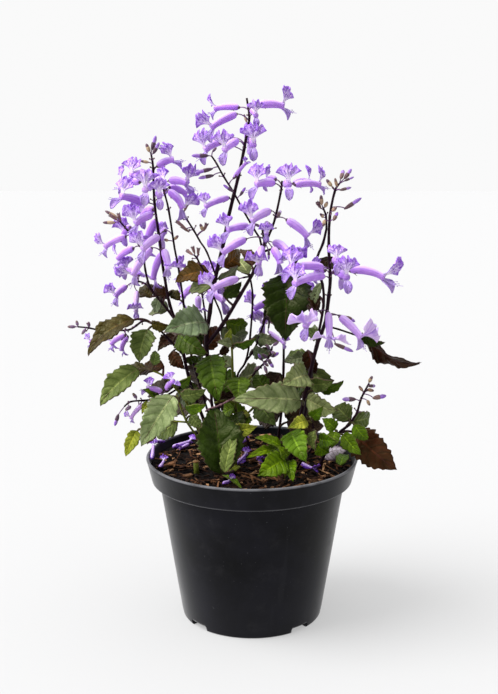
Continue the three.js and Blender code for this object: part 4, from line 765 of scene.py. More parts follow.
class Finish:
    """A material that is built node by node around one Principled shader."""

    def __init__(self, name, **sockets):
        self.material = bpy.data.materials.new(name)
        self.material.use_nodes = True
        self.tree = self.material.node_tree
        self.shader = self.tree.nodes["Principled BSDF"]
        for socket, value in sockets.items():
            self.shader.inputs[socket.replace("_", " ")].default_value = value

    def node(self, kind, **settings):
        made = self.tree.nodes.new(kind)
        for key, value in settings.items():
            setattr(made, key, value)
        return made

    def join(self, source, target):
        self.tree.links.new(source, target)

    def feed(self, target, value):
        """Puts a socket, a number or a colour into an input."""
        if isinstance(value, bpy.types.NodeSocket):
            self.join(value, target)
        elif target.type == "RGBA":
            target.default_value = (*value, 1)
        else:
            target.default_value = value

    def math(self, operation, *values):
        made = self.node("ShaderNodeMath", operation=operation)
        for socket, value in zip(made.inputs, values):
            self.feed(socket, value)
        return made.outputs[0]

    def mix(self, share, low, high, blend="MIX"):
        made = self.node("ShaderNodeMix", data_type="RGBA", blend_type=blend)
        for name, value in (("Factor", share), ("A", low), ("B", high)):
            self.feed(made.inputs[name], value)
        return made.outputs["Result"]

    def shaded(self, colour, shade):
        """A colour that is multiplied by another."""
        return self.mix(1.0, colour, shade, "MULTIPLY")

    def between(self, value, low, high, out_low=0, out_high=1):
        """A smooth step from one number to another, while a value goes from low to high."""
        made = self.node("ShaderNodeMapRange", interpolation_type="SMOOTHSTEP")
        limits = {"From Min": low, "From Max": high, "To Min": out_low, "To Max": out_high}
        for name, limit in limits.items():
            made.inputs[name].default_value = limit
        self.join(value, made.inputs["Value"])
        return made.outputs["Result"]

    def point(self):
        return self.node("ShaderNodeTexCoord").outputs["Object"]

    def chart(self):
        """The two coordinates of the piece's own UV map."""
        split = self.node("ShaderNodeSeparateXYZ")
        self.join(self.node("ShaderNodeUVMap", uv_map="chart").outputs["UV"], split.inputs[0])
        return split.outputs["X"], split.outputs["Y"]

    def paint(self, name="tint"):
        """A colour that the piece carries at its points."""
        return self.node("ShaderNodeAttribute", attribute_name=name).outputs["Color"]

    def grain(self, scale, detail=3.0, rough=0.6, stretch=None):
        """Noise over the piece, which is drawn out along the axes where stretch is small."""
        made = self.node("ShaderNodeTexNoise")
        for name, setting in (("Scale", scale), ("Detail", detail), ("Roughness", rough)):
            made.inputs[name].default_value = setting
        source = self.point()
        if stretch:
            mapping = self.node("ShaderNodeMapping")
            mapping.inputs["Scale"].default_value = stretch
            self.join(source, mapping.inputs["Vector"])
            source = mapping.outputs["Vector"]
        self.join(source, made.inputs["Vector"])
        return made.outputs["Fac"]

    def stray(self, grain, width):
        """Noise about nought, with the given width."""
        return self.math("MULTIPLY", self.math("SUBTRACT", grain, 0.5), width)

    def from_middle(self, v):
        """How far a point is from the middle line of its strip, 0 on the line and 1 at the edges."""
        return self.math("ABSOLUTE", self.math("SUBTRACT", self.math("MULTIPLY", v, 2), 1))

    def from_line(self, value):
        """How far a value is from the middle of its stripe, where each whole number starts a stripe."""
        return self.math("ABSOLUTE", self.math("SUBTRACT", self.math("FRACT", value), 0.5))

    def bump(self, height, depth, strength=1.0, under=None):
        made = self.node("ShaderNodeBump")
        made.inputs["Strength"].default_value = strength
        made.inputs["Distance"].default_value = depth
        self.join(height, made.inputs["Height"])
        if under:
            self.join(under, made.inputs["Normal"])
        return made.outputs["Normal"]

    def done(self, **sources):
        """Joins the sources to the shader and gives the material."""
        for socket, source in sources.items():
            self.join(source, self.shader.inputs[socket.replace("_", " ")])
        return self.material


def pot_plastic():
    """Satin black plastic, dusty and finely scratched, painted paler towards its foot as light bounced from
    the floor, with a painted highlight along the rim's top and a paler line at the band's foot.
    """
    f = Finish("pot_plastic", Specular_IOR_Level=0.09, Sheen_Weight=0.3, Sheen_Roughness=0.32)
    split = f.node("ShaderNodeSeparateXYZ")
    f.join(f.point(), split.inputs[0])
    height = split.outputs["Z"]
    cloud = f.grain(18, 5)
    base = f.mix(f.between(cloud, 0.35, 0.7), rgb(5, 5, 8), rgb(18, 18, 25))
    # Painted bounce light: the wall is painted paler towards its foot, as if lit by the floor
    base = f.mix(f.between(height, 0, PAINTED_BOUNCE_HEIGHT * MM, 0.3, 0), base, rgb(40, 40, 46))
    dust = f.between(f.grain(55, 6, 0.7), 0.5, 0.78)
    base = f.mix(f.math("MULTIPLY", dust, 0.1), base, rgb(80, 79, 80))
    scratch = f.between(f.grain(90, 2, 0.5, stretch=(1, 1, 0.06)), 0.6, 0.7)
    base = f.mix(f.math("MULTIPLY", scratch, 0.04), base, rgb(84, 84, 88))
    specks = f.between(f.grain(620, 1, 0.4), 0.76, 0.82, 0, 0.25)
    base = f.mix(specks, base, rgb(120, 120, 124))
    # A patchy mask that breaks up the painted rim highlight and the paler line at the band's foot
    worn = f.between(f.grain(70, 4), 0.3, 0.6, 0.45, 1)
    # Painted highlight: the rounded top of the rim is painted paler grey where it would catch the light
    rim = f.between(height, (POT_HEIGHT - 1.9) * MM, (POT_HEIGHT - 0.9) * MM, 0, 0.8)
    base = f.mix(f.math("MULTIPLY", rim, worn), base, rgb(112, 112, 116))
    # A paler line along the band's lower edge
    from_foot = f.math("ABSOLUTE", f.math("SUBTRACT", height, (BAND_FOOT + 0.4) * MM))
    edge = f.between(from_foot, 0.3 * MM, 0.9 * MM, 0.5, 0)
    base = f.mix(f.math("MULTIPLY", edge, worn), base, rgb(96, 96, 100))
    rough = f.math("ADD", f.between(cloud, 0.3, 0.75, 0.32, 0.45), f.math("MULTIPLY", dust, 0.15))
    skin = f.bump(f.grain(900, 2), 0.0001, 0.25)
    return f.done(Base_Color=base, Roughness=rough, Normal=f.bump(f.grain(14, 2), 0.0004, 0.12, skin))


def soil_mix():
    """Dark damp potting mix with brown fibres."""
    f = Finish("soil_mix", Specular_IOR_Level=0.2, Roughness=0.92)
    crumb = f.grain(420, 5, 0.7)
    patch = f.between(f.grain(60, 4), 0.5, 0.75, 0, 0.6)
    base = f.mix(f.between(crumb, 0.35, 0.7), rgb(5, 3, 3), rgb(20, 13, 11))
    return f.done(Base_Color=f.mix(patch, base, rgb(30, 20, 15)), Normal=f.bump(crumb, 0.0012, 0.9))


def bark():
    """Composted bark, from near black to tan, with a fibrous grain."""
    f = Finish("bark", Specular_IOR_Level=0.12, Roughness=0.85)
    fibre = f.grain(260, 4, 0.65, stretch=(1, 0.25, 1))
    shade = f.mix(f.between(fibre, 0.3, 0.7), (0.35, 0.32, 0.3), (1.5, 1.4, 1.3))
    return f.done(Base_Color=f.shaded(f.paint(), shade), Normal=f.bump(fibre, 0.0008, 0.8))


def stem_skin():
    """Smooth square stems, purple black or olive, with fine long streaks."""
    f = Finish("stem_skin", Specular_IOR_Level=0.09, Roughness=0.5)
    streak = f.grain(500, 3, 0.6, stretch=(1, 1, 0.12))
    shade = f.mix(f.between(streak, 0.3, 0.72), (0.7, 0.66, 0.66), (1.4, 1.3, 1.35))
    return f.done(Base_Color=f.shaded(f.paint(), shade), Normal=f.bump(streak, 0.0003, 0.4))


def veins(f):
    """The net of veins: 0 on the midrib and 1 away, 0 on a side vein and 1 away, and how far out it is."""
    u, v = f.chart()
    off = f.from_middle(v)
    middle = f.between(off, 0.02, 0.085)
    lean = f.math("SUBTRACT", u, f.math("MULTIPLY", f.math("POWER", off, VEIN_BEND), VEIN_SWEEP))
    rank = f.math("ADD", f.math("MULTIPLY", lean, VEIN_PAIRS), f.stray(f.grain(110, 2), 0.5))
    side = f.between(f.from_line(rank), 0.02, 0.2)
    fine = f.node("ShaderNodeTexVoronoi", feature="DISTANCE_TO_EDGE")
    fine.inputs["Scale"].default_value = 380
    f.join(f.point(), fine.inputs["Vector"])
    net = f.between(fine.outputs["Distance"], 0.0, 0.3, 0.72, 1)
    return middle, f.math("MULTIPLY", side, net), off


def leaf_top():
    """The upper face: satin and lumpy, with a pale midrib, sunken side veins darkened by painted shade,
    painted highlights on the puckers between them, and a dark rim.
    """
    f = Finish(
        "leaf_top",
        Specular_IOR_Level=0.18,
        Specular_Tint=(1, 1, 0.5, 1),
        Subsurface_Weight=0.05,
        Subsurface_Radius=(0.002, 0.003, 0.001),
    )
    middle, side, off = veins(f)
    mottle = f.grain(75, 4)
    base = f.shaded(f.paint(), f.mix(f.between(mottle, 0.3, 0.72), (0.6, 0.64, 0.5), (1.4, 1.34, 1.3)))
    # Painted highlight on the puckers between the side veins, and painted shade in the grooves of the side
    # veins
    painted_highlight = f.mix(f.between(f.grain(48, 2), 0.42, 0.64), (1.04, 1.03, 1.0), (1.5, 1.42, 1.5))
    base = f.mix(side, f.shaded(base, (0.86, 0.9, 0.78)), f.shaded(base, painted_highlight))
    base = f.mix(middle, f.shaded(base, (2.2, 2.0, 2.1)), base)
    base = f.mix(f.between(off, 0.9, 1.0, 0, 0.18), base, rgb(58, 40, 24))
    lumps = f.math("ADD", f.math("MULTIPLY", side, 0.5), f.math("MULTIPLY", f.grain(150, 2), 1.8))
    normal = f.bump(f.grain(1400, 2), 0.00015, 0.25, f.bump(lumps, 0.0011, 0.7))
    return f.done(Base_Color=base, Roughness=f.between(mottle, 0.3, 0.7, 0.3, 0.48), Normal=normal)


def leaf_under():
    """The lower face: duller, purple brown or olive, with raised veins."""
    f = Finish("leaf_under", Roughness=0.62, Specular_IOR_Level=0.22, Sheen_Weight=0.03, Sheen_Roughness=0.5)
    middle, side, _ = veins(f)
    mottle = f.mix(f.between(f.grain(60, 4), 0.3, 0.7), (0.65, 0.6, 0.6), (1.35, 1.3, 1.3))
    base = f.shaded(f.paint("under"), mottle)
    base = f.mix(side, f.shaded(base, (1.5, 1.35, 1.3)), base)
    base = f.mix(middle, f.shaded(base, (1.9, 1.7, 1.6)), base)
    ridge = f.math("SUBTRACT", 1.0, f.math("MULTIPLY", middle, side))
    return f.done(Base_Color=base, Normal=f.bump(ridge, 0.0012, 0.8))


def petal(name, roughness, sheen):
    """The thin soft flesh that the tube and both lips share."""
    return Finish(
        name,
        Specular_IOR_Level=0.25,
        Roughness=roughness,
        Sheen_Weight=sheen,
        Sheen_Roughness=0.4,
        Subsurface_Weight=0.12,
        Subsurface_Radius=(0.002, 0.001, 0.003),
    )


def petal_tube():
    """The flower's tube: lavender, paler along its top and darker along its underside, partly its own colour
    and partly painted highlight and painted shade, paler at the mouth, with fine long lines.
    """
    f = petal("petal_tube", 0.46, 0.05)
    u, v = f.chart()
    line = f.between(f.from_line(f.math("MULTIPLY", v, 9)), 0.06, 0.2)
    cloud = f.mix(f.between(f.grain(160, 3), 0.3, 0.7), (0.9, 0.84, 0.94), (1.12, 1.14, 1.06))
    belly = f.math("SUBTRACT", 1.0, f.from_middle(v))
    # Paler along the top of the tube: partly its own colour, partly painted highlight
    base = f.mix(f.between(belly, 0.08, 0.4, 0.7, 0), f.shaded(f.paint(), cloud), rgb(232, 206, 252))
    # Darker along the underside of the tube: partly its own colour, partly painted shade
    base = f.mix(f.between(belly, 0.6, 0.92, 0, 0.5), base, rgb(150, 94, 220))
    base = f.mix(f.between(u, 0.7, 1.0, 0, 0.45), base, rgb(232, 214, 250))
    base = f.mix(f.between(line, 0, 1, 0.24, 0), base, rgb(136, 84, 204))
    return f.done(Base_Color=base, Normal=f.bump(line, 0.0002, 0.4))


def petal_fan():
    """The upper lip: almost white, with broken violet streaks and blots that thicken into a violet margin."""
    f = petal("petal_fan", 0.5, 0.04)
    u, v = f.chart()
    ray = f.math("MULTIPLY", f.math("ADD", v, f.stray(f.grain(230, 3), 0.6)), 5)
    streak = f.between(f.from_line(ray), 0.06, 0.24, 1, 0)
    ragged = f.math("ADD", u, f.stray(f.grain(300, 3), 0.8))
    base = f.mix(f.between(ragged, 0.1, 0.9), rgb(242, 228, 252), f.paint())
    blot = f.math("MULTIPLY", f.between(f.grain(480, 2), 0.52, 0.6), f.between(u, 0.3, 0.6, 0, 0.7))
    base = f.mix(blot, base, rgb(120, 58, 186))
    base = f.mix(f.between(ragged, 0.74, 1.0, 0, 0.7), base, rgb(146, 86, 216))
    base = f.mix(f.between(f.from_middle(v), 0.82, 1.0, 0, 0.6), base, rgb(146, 90, 214))
    broken = f.math("MULTIPLY", streak, f.between(f.grain(330, 2), 0.36, 0.56, 0.25, 1))
    reach = f.math("MULTIPLY", f.between(u, 0.2, 0.5), f.between(u, 0.9, 1.0, 1, 0.5))
    base = f.mix(f.math("MULTIPLY", f.math("MULTIPLY", broken, reach), 0.75), base, rgb(108, 48, 180))
    return f.done(Base_Color=base, Normal=f.bump(streak, 0.0003, 0.5))


def petal_lip():
    """The lower lip: a pale greyish lavender boat, speckled dark towards its tip and edges."""
    f = petal("petal_lip", 0.5, 0.04)
    u, v = f.chart()
    side = f.from_middle(v)
    base = f.mix(f.between(side, 0.45, 0.95, 0, 0.6), f.paint(), rgb(150, 106, 214))
    speckle = f.between(f.grain(760, 3), 0.48, 0.58)
    edge = f.math("MAXIMUM", f.between(u, 0.5, 0.95, 0.1, 0.8), f.between(side, 0.55, 0.95, 0, 0.5))
    base = f.mix(f.math("MULTIPLY", speckle, edge), base, rgb(88, 60, 140))
    base = f.mix(f.between(u, 0.0, 0.4, 0.6, 0), base, rgb(232, 216, 248))
    return f.done(Base_Color=base, Normal=f.bump(f.grain(300, 3), 0.0003, 0.5))


def calyx_skin():
    """Calyces, bud scales and empty cups: dark, ribbed and downy."""
    f = Finish("calyx_skin", Roughness=0.6, Sheen_Weight=0.1, Sheen_Roughness=0.5)
    _, v = f.chart()
    rib = f.between(f.from_line(f.math("MULTIPLY", v, 8)), 0.1, 0.4)
    base = f.shaded(f.paint(), f.mix(rib, (1.4, 1.3, 1.4), (0.8, 0.75, 0.8)))
    return f.done(Base_Color=base, Normal=f.bump(rib, 0.0003, 0.6))


def filament_skin():
    """Stamens and styles: thin and pale violet."""
    f = Finish("filament_skin", Roughness=0.5)
    return f.done(Base_Color=f.mix(f.grain(700, 2), f.paint(), rgb(196, 168, 236)))


def dry_skin():
    """A dry curled leaf: whitish mauve along its middle and darker at its sides, partly its own pale colour
    and partly painted highlight and painted shade on the curl, with brown veins.
    """
    f = Finish("dry_skin", Roughness=0.45, Specular_IOR_Level=0.35)
    middle, side, off = veins(f)
    net = f.math("MULTIPLY", middle, side)
    blotch = f.between(f.grain(120, 5), 0.5, 0.7)
    # Whitish middle and darker sides: partly the leaf's own pale colour, partly painted highlight and painted
    # shade on the curl
    base = f.mix(f.between(off, 0.3, 0.95), rgb(226, 216, 226), rgb(132, 112, 126))
    base = f.mix(f.math("MULTIPLY", blotch, 0.5), base, rgb(112, 86, 84))
    base = f.mix(net, f.shaded(base, (0.62, 0.55, 0.58)), base)
    return f.done(Base_Color=base, Normal=f.bump(net, 0.001, 0.5))


def floor_paint():
    """The plain pale floor, lit a little from within like a studio's light table."""
    f = Finish(
        "floor_paint",
        Base_Color=(*FLOOR_SHADE, 1),
        Roughness=1.0,
        Specular_IOR_Level=0,
        Emission_Color=(1, 1, 1, 1),
        Emission_Strength=FLOOR_GLOW,
    )
    return f.material


# The plant's finishes, by their places in the list of a leafy piece and in that of a flowering one
STEM, TOP, UNDER = 0, 1, 2
TUBE, FAN, LIP, CALYX, FILAMENT = 1, 2, 3, 4, 5


# Shapes


def new_bmesh():
    """An empty bmesh with a UV map and two painted colours."""
    bm = bmesh.new()
    bm.loops.layers.uv.new("chart")
    bm.verts.layers.float_color.new("tint")
    bm.verts.layers.float_color.new("under")
    return bm


def paint(bm, verts, tint, under=None):
    """Gives points their colour, and the colour that a leaf's lower face reads."""
    tints = bm.verts.layers.float_color["tint"]
    unders = bm.verts.layers.float_color["under"]
    for vert in verts:
        vert[tints] = (*tint, 1)
        vert[unders] = (*(under or tint), 1)


def dress(bm, verts, skin, tint, under=None):
    """Gives the faces at these points their material, colour and smooth shading."""
    verts = [vert for vert in verts if vert.is_valid]
    paint(bm, verts, tint, under)
    faces = list(dict.fromkeys(face for vert in verts for face in vert.link_faces))
    for face in faces:
        face.material_index = skin
        face.smooth = True
    return faces


def limb(bm, path, radii, sides, skin, tint, flat=1.0, upright=None, square=0.0, tip=None):
    """A closed round limb along a path, with a radius at each of its points; both ends close to a point."""
    rows = len(path) + 1
    made = bmesh.ops.create_grid(bm, x_segments=rows, y_segments=sides, size=1, calc_uvs=True)["verts"]
    frames = []
    side = upright or Vector((0.31, 0.87, 0.38))
    for i, point in enumerate(path):
        along = (path[min(i + 1, len(path) - 1)] - path[max(i - 1, 0)]).normalized()
        side = (side - along * side.dot(along)).normalized()
        frames.append((point, radii[i], side, along.cross(side)))
    frames = [(path[0], 0, *frames[0][2:]), *frames, (path[-1], 0, *frames[-1][2:])]
    reach = {}
    for vert in made:
        row = round((vert.co.x + 1) / 2 * rows)
        angle = pi * (vert.co.y + 1)
        point, radius, up, other = frames[row]
        radius *= 1 + square * (abs(cos(2 * angle)) - 0.5)
        vert.co = point + radius * (up * cos(angle) + other * (flat * sin(angle)))
        reach[vert] = row / rows
    bmesh.ops.remove_doubles(bm, verts=made, dist=WELD)
    faces = dress(bm, made, skin, tint)
    if tip:
        for vert in made:
            if vert.is_valid:
                paint(bm, [vert], mixed(tint, tip, reach[vert]))
    bmesh.ops.recalc_face_normals(bm, faces=faces)


def sheet(bm, along, across, shape, thick, skins, tint, under=None):
    """A thin sheet: shape(u, v) places a grid, with u from 0 to 1 and v from -1 to 1, and a wall backs it."""
    made = bmesh.ops.create_grid(bm, x_segments=along, y_segments=across, size=1, calc_uvs=True)["verts"]
    for vert in made:
        vert.co = shape((vert.co.x + 1) / 2, vert.co.y)
    bmesh.ops.remove_doubles(bm, verts=made, dist=WELD)
    made = [vert for vert in made if vert.is_valid]
    front = dress(bm, made, skins[0], tint, under)
    for face in front:
        face.normal_update()
    for vert in made:
        vert.normal_update()
    wall = bmesh.ops.solidify(bm, geom=front, thickness=thick)["geom"]
    behind = [face for face in wall if isinstance(face, bmesh.types.BMFace)]
    rim = [face for vert in made if vert.is_valid for face in vert.link_faces]
    whole = list(dict.fromkeys([*front, *behind, *rim]))
    for face in whole[len(front):]:
        face.material_index = skins[1]
        face.smooth = True
    paint(bm, {vert for face in behind for vert in face.verts}, tint, under)
    bmesh.ops.recalc_face_normals(bm, faces=whole)


def flowing(points, steps):
    """More points on a smooth curve through the given ones."""
    padded = [2 * points[0] - points[1], *points, 2 * points[-1] - points[-2]]
    smooth = []
    for a, b, c, d in zip(padded, padded[1:], padded[2:], padded[3:]):
        for step in range(steps):
            t = step / steps
            smooth.append(
                b
                + (c - a) * (0.5 * t)
                + (2 * a - 5 * b + 4 * c - d) * (0.5 * t * t)
                + (3 * b - a - 3 * c + d) * (0.5 * t * t * t)
            )
    return [*smooth, points[-1]]


def arc(start, bend, end, steps):
    """Points on one smooth bow from start to end, pulled towards bend."""
    return [
        start * ((1 - t) ** 2) + bend * (2 * t * (1 - t)) + end * (t * t)
        for t in (i / steps for i in range(steps + 1))
    ]


def nearest(stems, target):
    """The nearest place on some stems to a point, a little off their joints, and the stem's way there."""
    best = None
    for stem in stems:
        for a, b in zip(stem, stem[1:]):
            along = b - a
            t = min(0.92, max(0.08, (target - a).dot(along) / along.length_squared))
            at = a + along * t
            if best is None or (at - target).length < (best[0] - target).length:
                best = (at, along.normalized())
    return best


def put(name, data):
    """Puts a mesh, a lamp or a camera into the scene."""
    made = bpy.data.objects.new(name, data)
    bpy.context.scene.collection.objects.link(made)
    return made


def mesh_from(name, bm, skins=()):
    """Turns a finished bmesh into a mesh."""
    mesh = bpy.data.meshes.new(name)
    bm.to_mesh(mesh)
    bm.free()
    for skin in skins:
        mesh.materials.append(skin)
    return mesh


def piece(name, bm, skins, slot, *nodes):
    """Turns a finished bmesh into a piece that rides on the plant and stands for CAD nodes."""
    made = put(name, mesh_from(name, bm, skins))
    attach(made, "root")
    if nodes:
        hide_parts(*nodes)
    return made


# Leaves

LeafSpot = namedtuple("LeafSpot", "foot along length face side")


def leaf_frame(foot, tip, roll, toward):
    """A leaf's place. Its face looks the given way as nearly as it can, and is then turned by the roll."""
    along = tip - foot
    length = along.length
    along = along / length
    face = toward.normalized()
    face = (face - along * face.dot(along)).normalized()
    face = Matrix.Rotation(radians(roll), 3, along) @ face
    return LeafSpot(foot, along, length, face, along.cross(face))


def leaf_blade(bm, spot, width, arch, fold, teeth, shade, skins):
    """The blade of a leaf: a toothed outline, folded and waved, puckered between its veins."""
    lean = sin(radians(fold))
    spread = cos(radians(fold))
    nicks = 2 * teeth + 1
    turn = 2 * pi * random.random()
    deep = PUCKER * MM * min(1, width / (PUCKERED_WIDTH * MM))

    def half_width(u, v):
        saw = (u * nicks + TOOTH_START) % 1
        crest = saw if saw < TOOTH_CREST else TOOTH_CREST * (1 - saw) / (1 - TOOTH_CREST)
        tooth = TOOTH_FOOT + TOOTH_DEPTH * crest
        tooth += TOOTH_WOBBLE * noise.noise(Vector((6 * u, turn, 4 if v > 0 else 0)))
        edge = 1 + (tooth - 1) * abs(v) ** 2.5
        full = max(0.0, sin(pi * min(u, 1) ** OUTLINE_LEAN)) ** OUTLINE_FULLNESS
        return 0.5 * width * full * edge

    def pucker(u, off):
        rank = cos(2 * pi * VEIN_PAIRS * (u - VEIN_SWEEP * off**VEIN_BEND))
        return deep * (rank * min(1, 4 * off) * (1 - off**4) - 0.5 * max(0, 1 - 6 * off))

    def shape(u, v):
        half = half_width(u, v)
        off = abs(v)
        wave = sin(2 * pi * BLADE_WAVES * u + turn + (2 if v > 0 else 0)) * BLADE_WAVE * off
        lift = spot.length * (arch * 4 * u * (1 - u) - TIP_CURL * u**4)
        lift += off * half * (lean + wave) + pucker(u, off)
        flat = spot.along * (spot.length * u) + spot.side * (v * half * spread)
        return spot.foot + flat + spot.face * lift

    high, low = LEAF_SHADES[shade]
    vary = 0.82 + 0.36 * random.random()
    warm = 0.92 + 0.16 * random.random()
    top = (high[0] * vary * warm, high[1] * vary, high[2] * vary / warm)
    sheet(bm, min(44, 7 * teeth + 10), BLADE_COLUMNS, shape, -BLADE * MM, skins, top, low)


def leaf_on_stem(bm, row, stems, away):
    """A leaf with its midrib and its stalk, which bows out from the stem; away turns its face to the back."""
    base, tip, width, roll, arch, fold, teeth, shade = row
    foot = place(base)
    spot = leaf_frame(foot, place(tip), roll, EYE - foot)
    root, up = nearest(stems, foot - Vector((0, 0, 0.3 * width * MM)))
    leaf_blade(bm, spot, width * MM, arch, fold, teeth, shade, (UNDER, TOP) if away else (TOP, UNDER))
    middle = foot - spot.face * (BLADE * MM / 2)
    reach = (middle - root).length
    bend = root + (middle - root) * 0.5 + (up * 0.15 - spot.along * 0.2) * reach
    stalk = arc(root, bend, middle + spot.along * (0.6 * MM), 6)
    thick = (LEAF_STALK + LEAF_STALK_GROWTH * width) * MM
    high, low = LEAF_SHADES[shade]
    limb(bm, stalk, [thick * (1.25 - 0.35 * i / 6) for i in range(7)], 6, STEM, mixed(STALK, high, 0.25))
    sunk = (0.25 if away else 0.75) * BLADE * MM
    rib = []
    for t in RIB:
        lift = arch * spot.length * 4 * t * (1 - t)
        rib.append(spot.foot + spot.along * (spot.length * t) + spot.face * lift - spot.face * sunk)
    limb(bm, rib, [thick * (0.8 - 0.7 * t) for t in RIB], 6, STEM, mixed(STALK, low, 0.5))


# Flowers

# The angles of the lips to the tube in degrees, the size, how far the lips turn to the camera, how far the
# tube bows up in millimetres, and how many times as wide as usual the upper lip is
ORDINARY_FLOWER = {"fan": 72, "lip": 52, "size": 1, "facing": 0.45, "bulge": 1.2, "wide": 1}

# Profiles of the small round bodies, as shares of their length and of their thickness
TUBE_PROFILE = (
    (0.0, 0.5), (0.03, 0.76), (0.1, 0.96), (0.22, 1.06), (0.4, 1.06), (0.6, 0.98), (0.78, 0.86),
    (0.92, 0.84), (1.0, 0.96), (0.97, 0.72), (0.85, 0.58),
)
CALYX_PROFILE = ((-0.3, 0.35), (-0.1, 0.75), (0.2, 0.95), (0.6, 1.0), (1.0, 1.18), (0.9, 0.8))
BELL_PROFILE = ((-0.1, 0.28), (0.1, 0.5), (0.35, 0.8), (0.65, 0.85), (0.9, 1.0), (1.0, 1.1), (0.8, 0.6))
BEAD_PROFILE = ((-0.05, 0.35), (0.12, 0.8), (0.35, 1.0), (0.6, 0.9), (0.75, 0.5))
BEAD_TIP_PROFILE = ((0.45, 0.75), (0.65, 0.85), (0.85, 0.7), (1.0, 0.3))
BUD_CUP_PROFILE = ((-0.08, 0.3), (0.05, 0.7), (0.22, 0.95), (0.45, 1.0), (0.5, 0.85))
BUD_PROFILE = ((0.3, 0.6), (0.5, 0.86), (0.7, 1.0), (0.88, 0.72), (1.0, 0.25))

FlowerSpot = namedtuple("FlowerSpot", "base mouth along length upright")
LipSpot = namedtuple("LipSpot", "root grow inner side")


def flower_frame(base, mouth):
    """A flower's place, and which way is up for it."""
    along = mouth - base
    length = along.length
    along = along / length
    upright = Vector((0, -0.2, 1))
    upright = (upright - along * upright.dot(along)).normalized()
    return FlowerSpot(base, mouth, along, length, upright)


def tube_radius(size):
    """The tube's radius, which shrinks less than the flower does."""
    return TUBE_RADIUS * MM * min(1, 0.25 + 0.75 * size)


def lip_frame(spot, angle, facing, height):
    """Where a lip starts in the mouth, the way that it grows, its inner face and its side."""
    lean = radians(angle)
    grow = spot.along * cos(lean) + spot.upright * sin(lean)
    inner = spot.along * abs(sin(lean)) - spot.upright * ((1 if lean > 0 else -1) * cos(lean))
    inner = inner * (1 - facing) + (EYE - spot.mouth).normalized() * facing
    inner = (inner - grow * inner.dot(grow)).normalized()
    root = spot.mouth + spot.upright * height - spot.along * (MOUTH_SINK * MM)
    return LipSpot(root, grow, inner, grow.cross(inner))


def fan_lip(bm, spot, flower, tint):
    """The upper lip: a narrow neck that flares into two halves of two ragged, ruffled lobes each."""
    size = flower["size"]
    lip = lip_frame(spot, flower["fan"], flower["facing"], 0.62 * tube_radius(size))
    half, tall = FAN_HALF_WIDTH * MM * flower["wide"], FAN_HEIGHT * MM
    turn = 20 * random.random()
    cleft = 0.06 + 0.16 * random.random()

    def shape(u, v):
        off = abs(v)
        ragged = noise.noise(Vector((4.5 * v, turn, 0))) * 0.14
        ragged += noise.noise(Vector((12 * v, turn, 5))) * 0.05
        gaps = 0.1 * exp(-(((off - LOBE_GAP) / GAP_WIDTH) ** 2)) + cleft * exp(-((v / GAP_WIDTH) ** 2))
        lobed = 1.0 - gaps - 0.4 * off**4 + ragged
        flare = min(1.0, max(0.0, (u - 0.2) / 0.7))
        open_out = 0.2 + 0.84 * (0.3 * flare + 0.7 * flare * flare * (3 - 2 * flare))
        x = v * open_out * (1 + (0.34 + ragged) * u * off**2)
        h = u * (1 - u * (1 - lobed))
        ruffle = FAN_RUFFLE * (sin(9 * v + turn) + 2 * noise.noise(Vector((7 * v, 2 * u, turn)))) * u * u
        forward = FAN_CUP * half * x * x * (1 - 0.6 * u) - FAN_CURL * tall * h * h * (1 + 1.4 * off)
        forward += ruffle * half
        return lip.root + (lip.side * (x * half) + lip.grow * (h * tall) + lip.inner * forward) * size

    # A widened lip is as plain as the tube
    skin = FAN if flower["wide"] == 1 else TUBE
    sheet(bm, 12, 26, shape, -PETAL * MM, (skin, skin), tint)


def boat_lip(bm, spot, flower, tint):
    """The lower lip: a small boat that hangs from the mouth."""
    size = flower["size"]
    lip = lip_frame(spot, -flower["lip"], flower["facing"], -0.55 * tube_radius(size))
    half, tall = LIP_HALF_WIDTH * MM, LIP_LENGTH * MM

    def shape(u, v):
        if u < 0.55:
            wide = 0.4 + 0.5 * sin(pi * min(0.5, 0.9 * u))
        else:
            wide = 0.9 * cos(pi / 2 * (u - 0.55) / 0.45) ** 0.48
        x = v * wide
        forward = LIP_CUP * half * (x * x * 2.2) - 0.16 * tall * (u * u) + 0.1 * tall * sin(pi * u)
        return lip.root + (lip.side * (x * half) + lip.grow * (u * tall) + lip.inner * forward) * size

    sheet(bm, 10, 8, shape, -PETAL * MM, (LIP, LIP), tint)
    return lip


def stamens(bm, spot, size, lip):
    """Four thin stamens and a longer style that lie along the lower lip and turn up at their ends."""
    start = spot.mouth - spot.along * (3 * MM) - spot.upright * (0.2 * tube_radius(size))
    out = spot.along * 0.55 + lip.grow * 0.6
    for share, length in (*STAMENS, STYLE):
        reach = length * MM * size
        bend = start + out * (reach * 0.75) + lip.side * (share * 0.6 * MM)
        spread = lip.side * (share * 3.2 * MM * size)
        end = start + out * (reach * 1.05) + lip.inner * (0.34 * reach) + spread
        tint = rgb(214, 190, 244) if share else rgb(170, 120, 222)
        limb(bm, arc(start, bend, end, 6), [FILAMENT_RADIUS * MM] * 7, 4, FILAMENT, tint)
        if share:
            anther = [end - out * (0.3 * MM), end, end + out * (0.5 * MM)]
            limb(bm, anther, [0.16 * MM, 0.42 * MM, 0.2 * MM], 5, FILAMENT, rgb(72, 46, 104))


def bloom(bm, spot, flower, tint):
    """The open flower: tube, lips and, unless it is tiny, stamens."""
    size = flower["size"]
    radius = tube_radius(size)
    path = []
    for t, _ in TUBE_PROFILE:
        bow = flower["bulge"] * MM * 4 * t * (1 - t)
        path.append(spot.base + spot.along * (t * spot.length) + spot.upright * bow)
    limb(bm, path, [share * radius for _, share in TUBE_PROFILE], 12, TUBE, tint, 0.86, spot.upright)
    fan_lip(bm, spot, flower, mixed(tint, rgb(222, 196, 250), 0.5))
    lip = boat_lip(bm, spot, flower, mixed(tint, rgb(188, 168, 214), 0.6))
    if size > 0.35:
        stamens(bm, spot, size, lip)


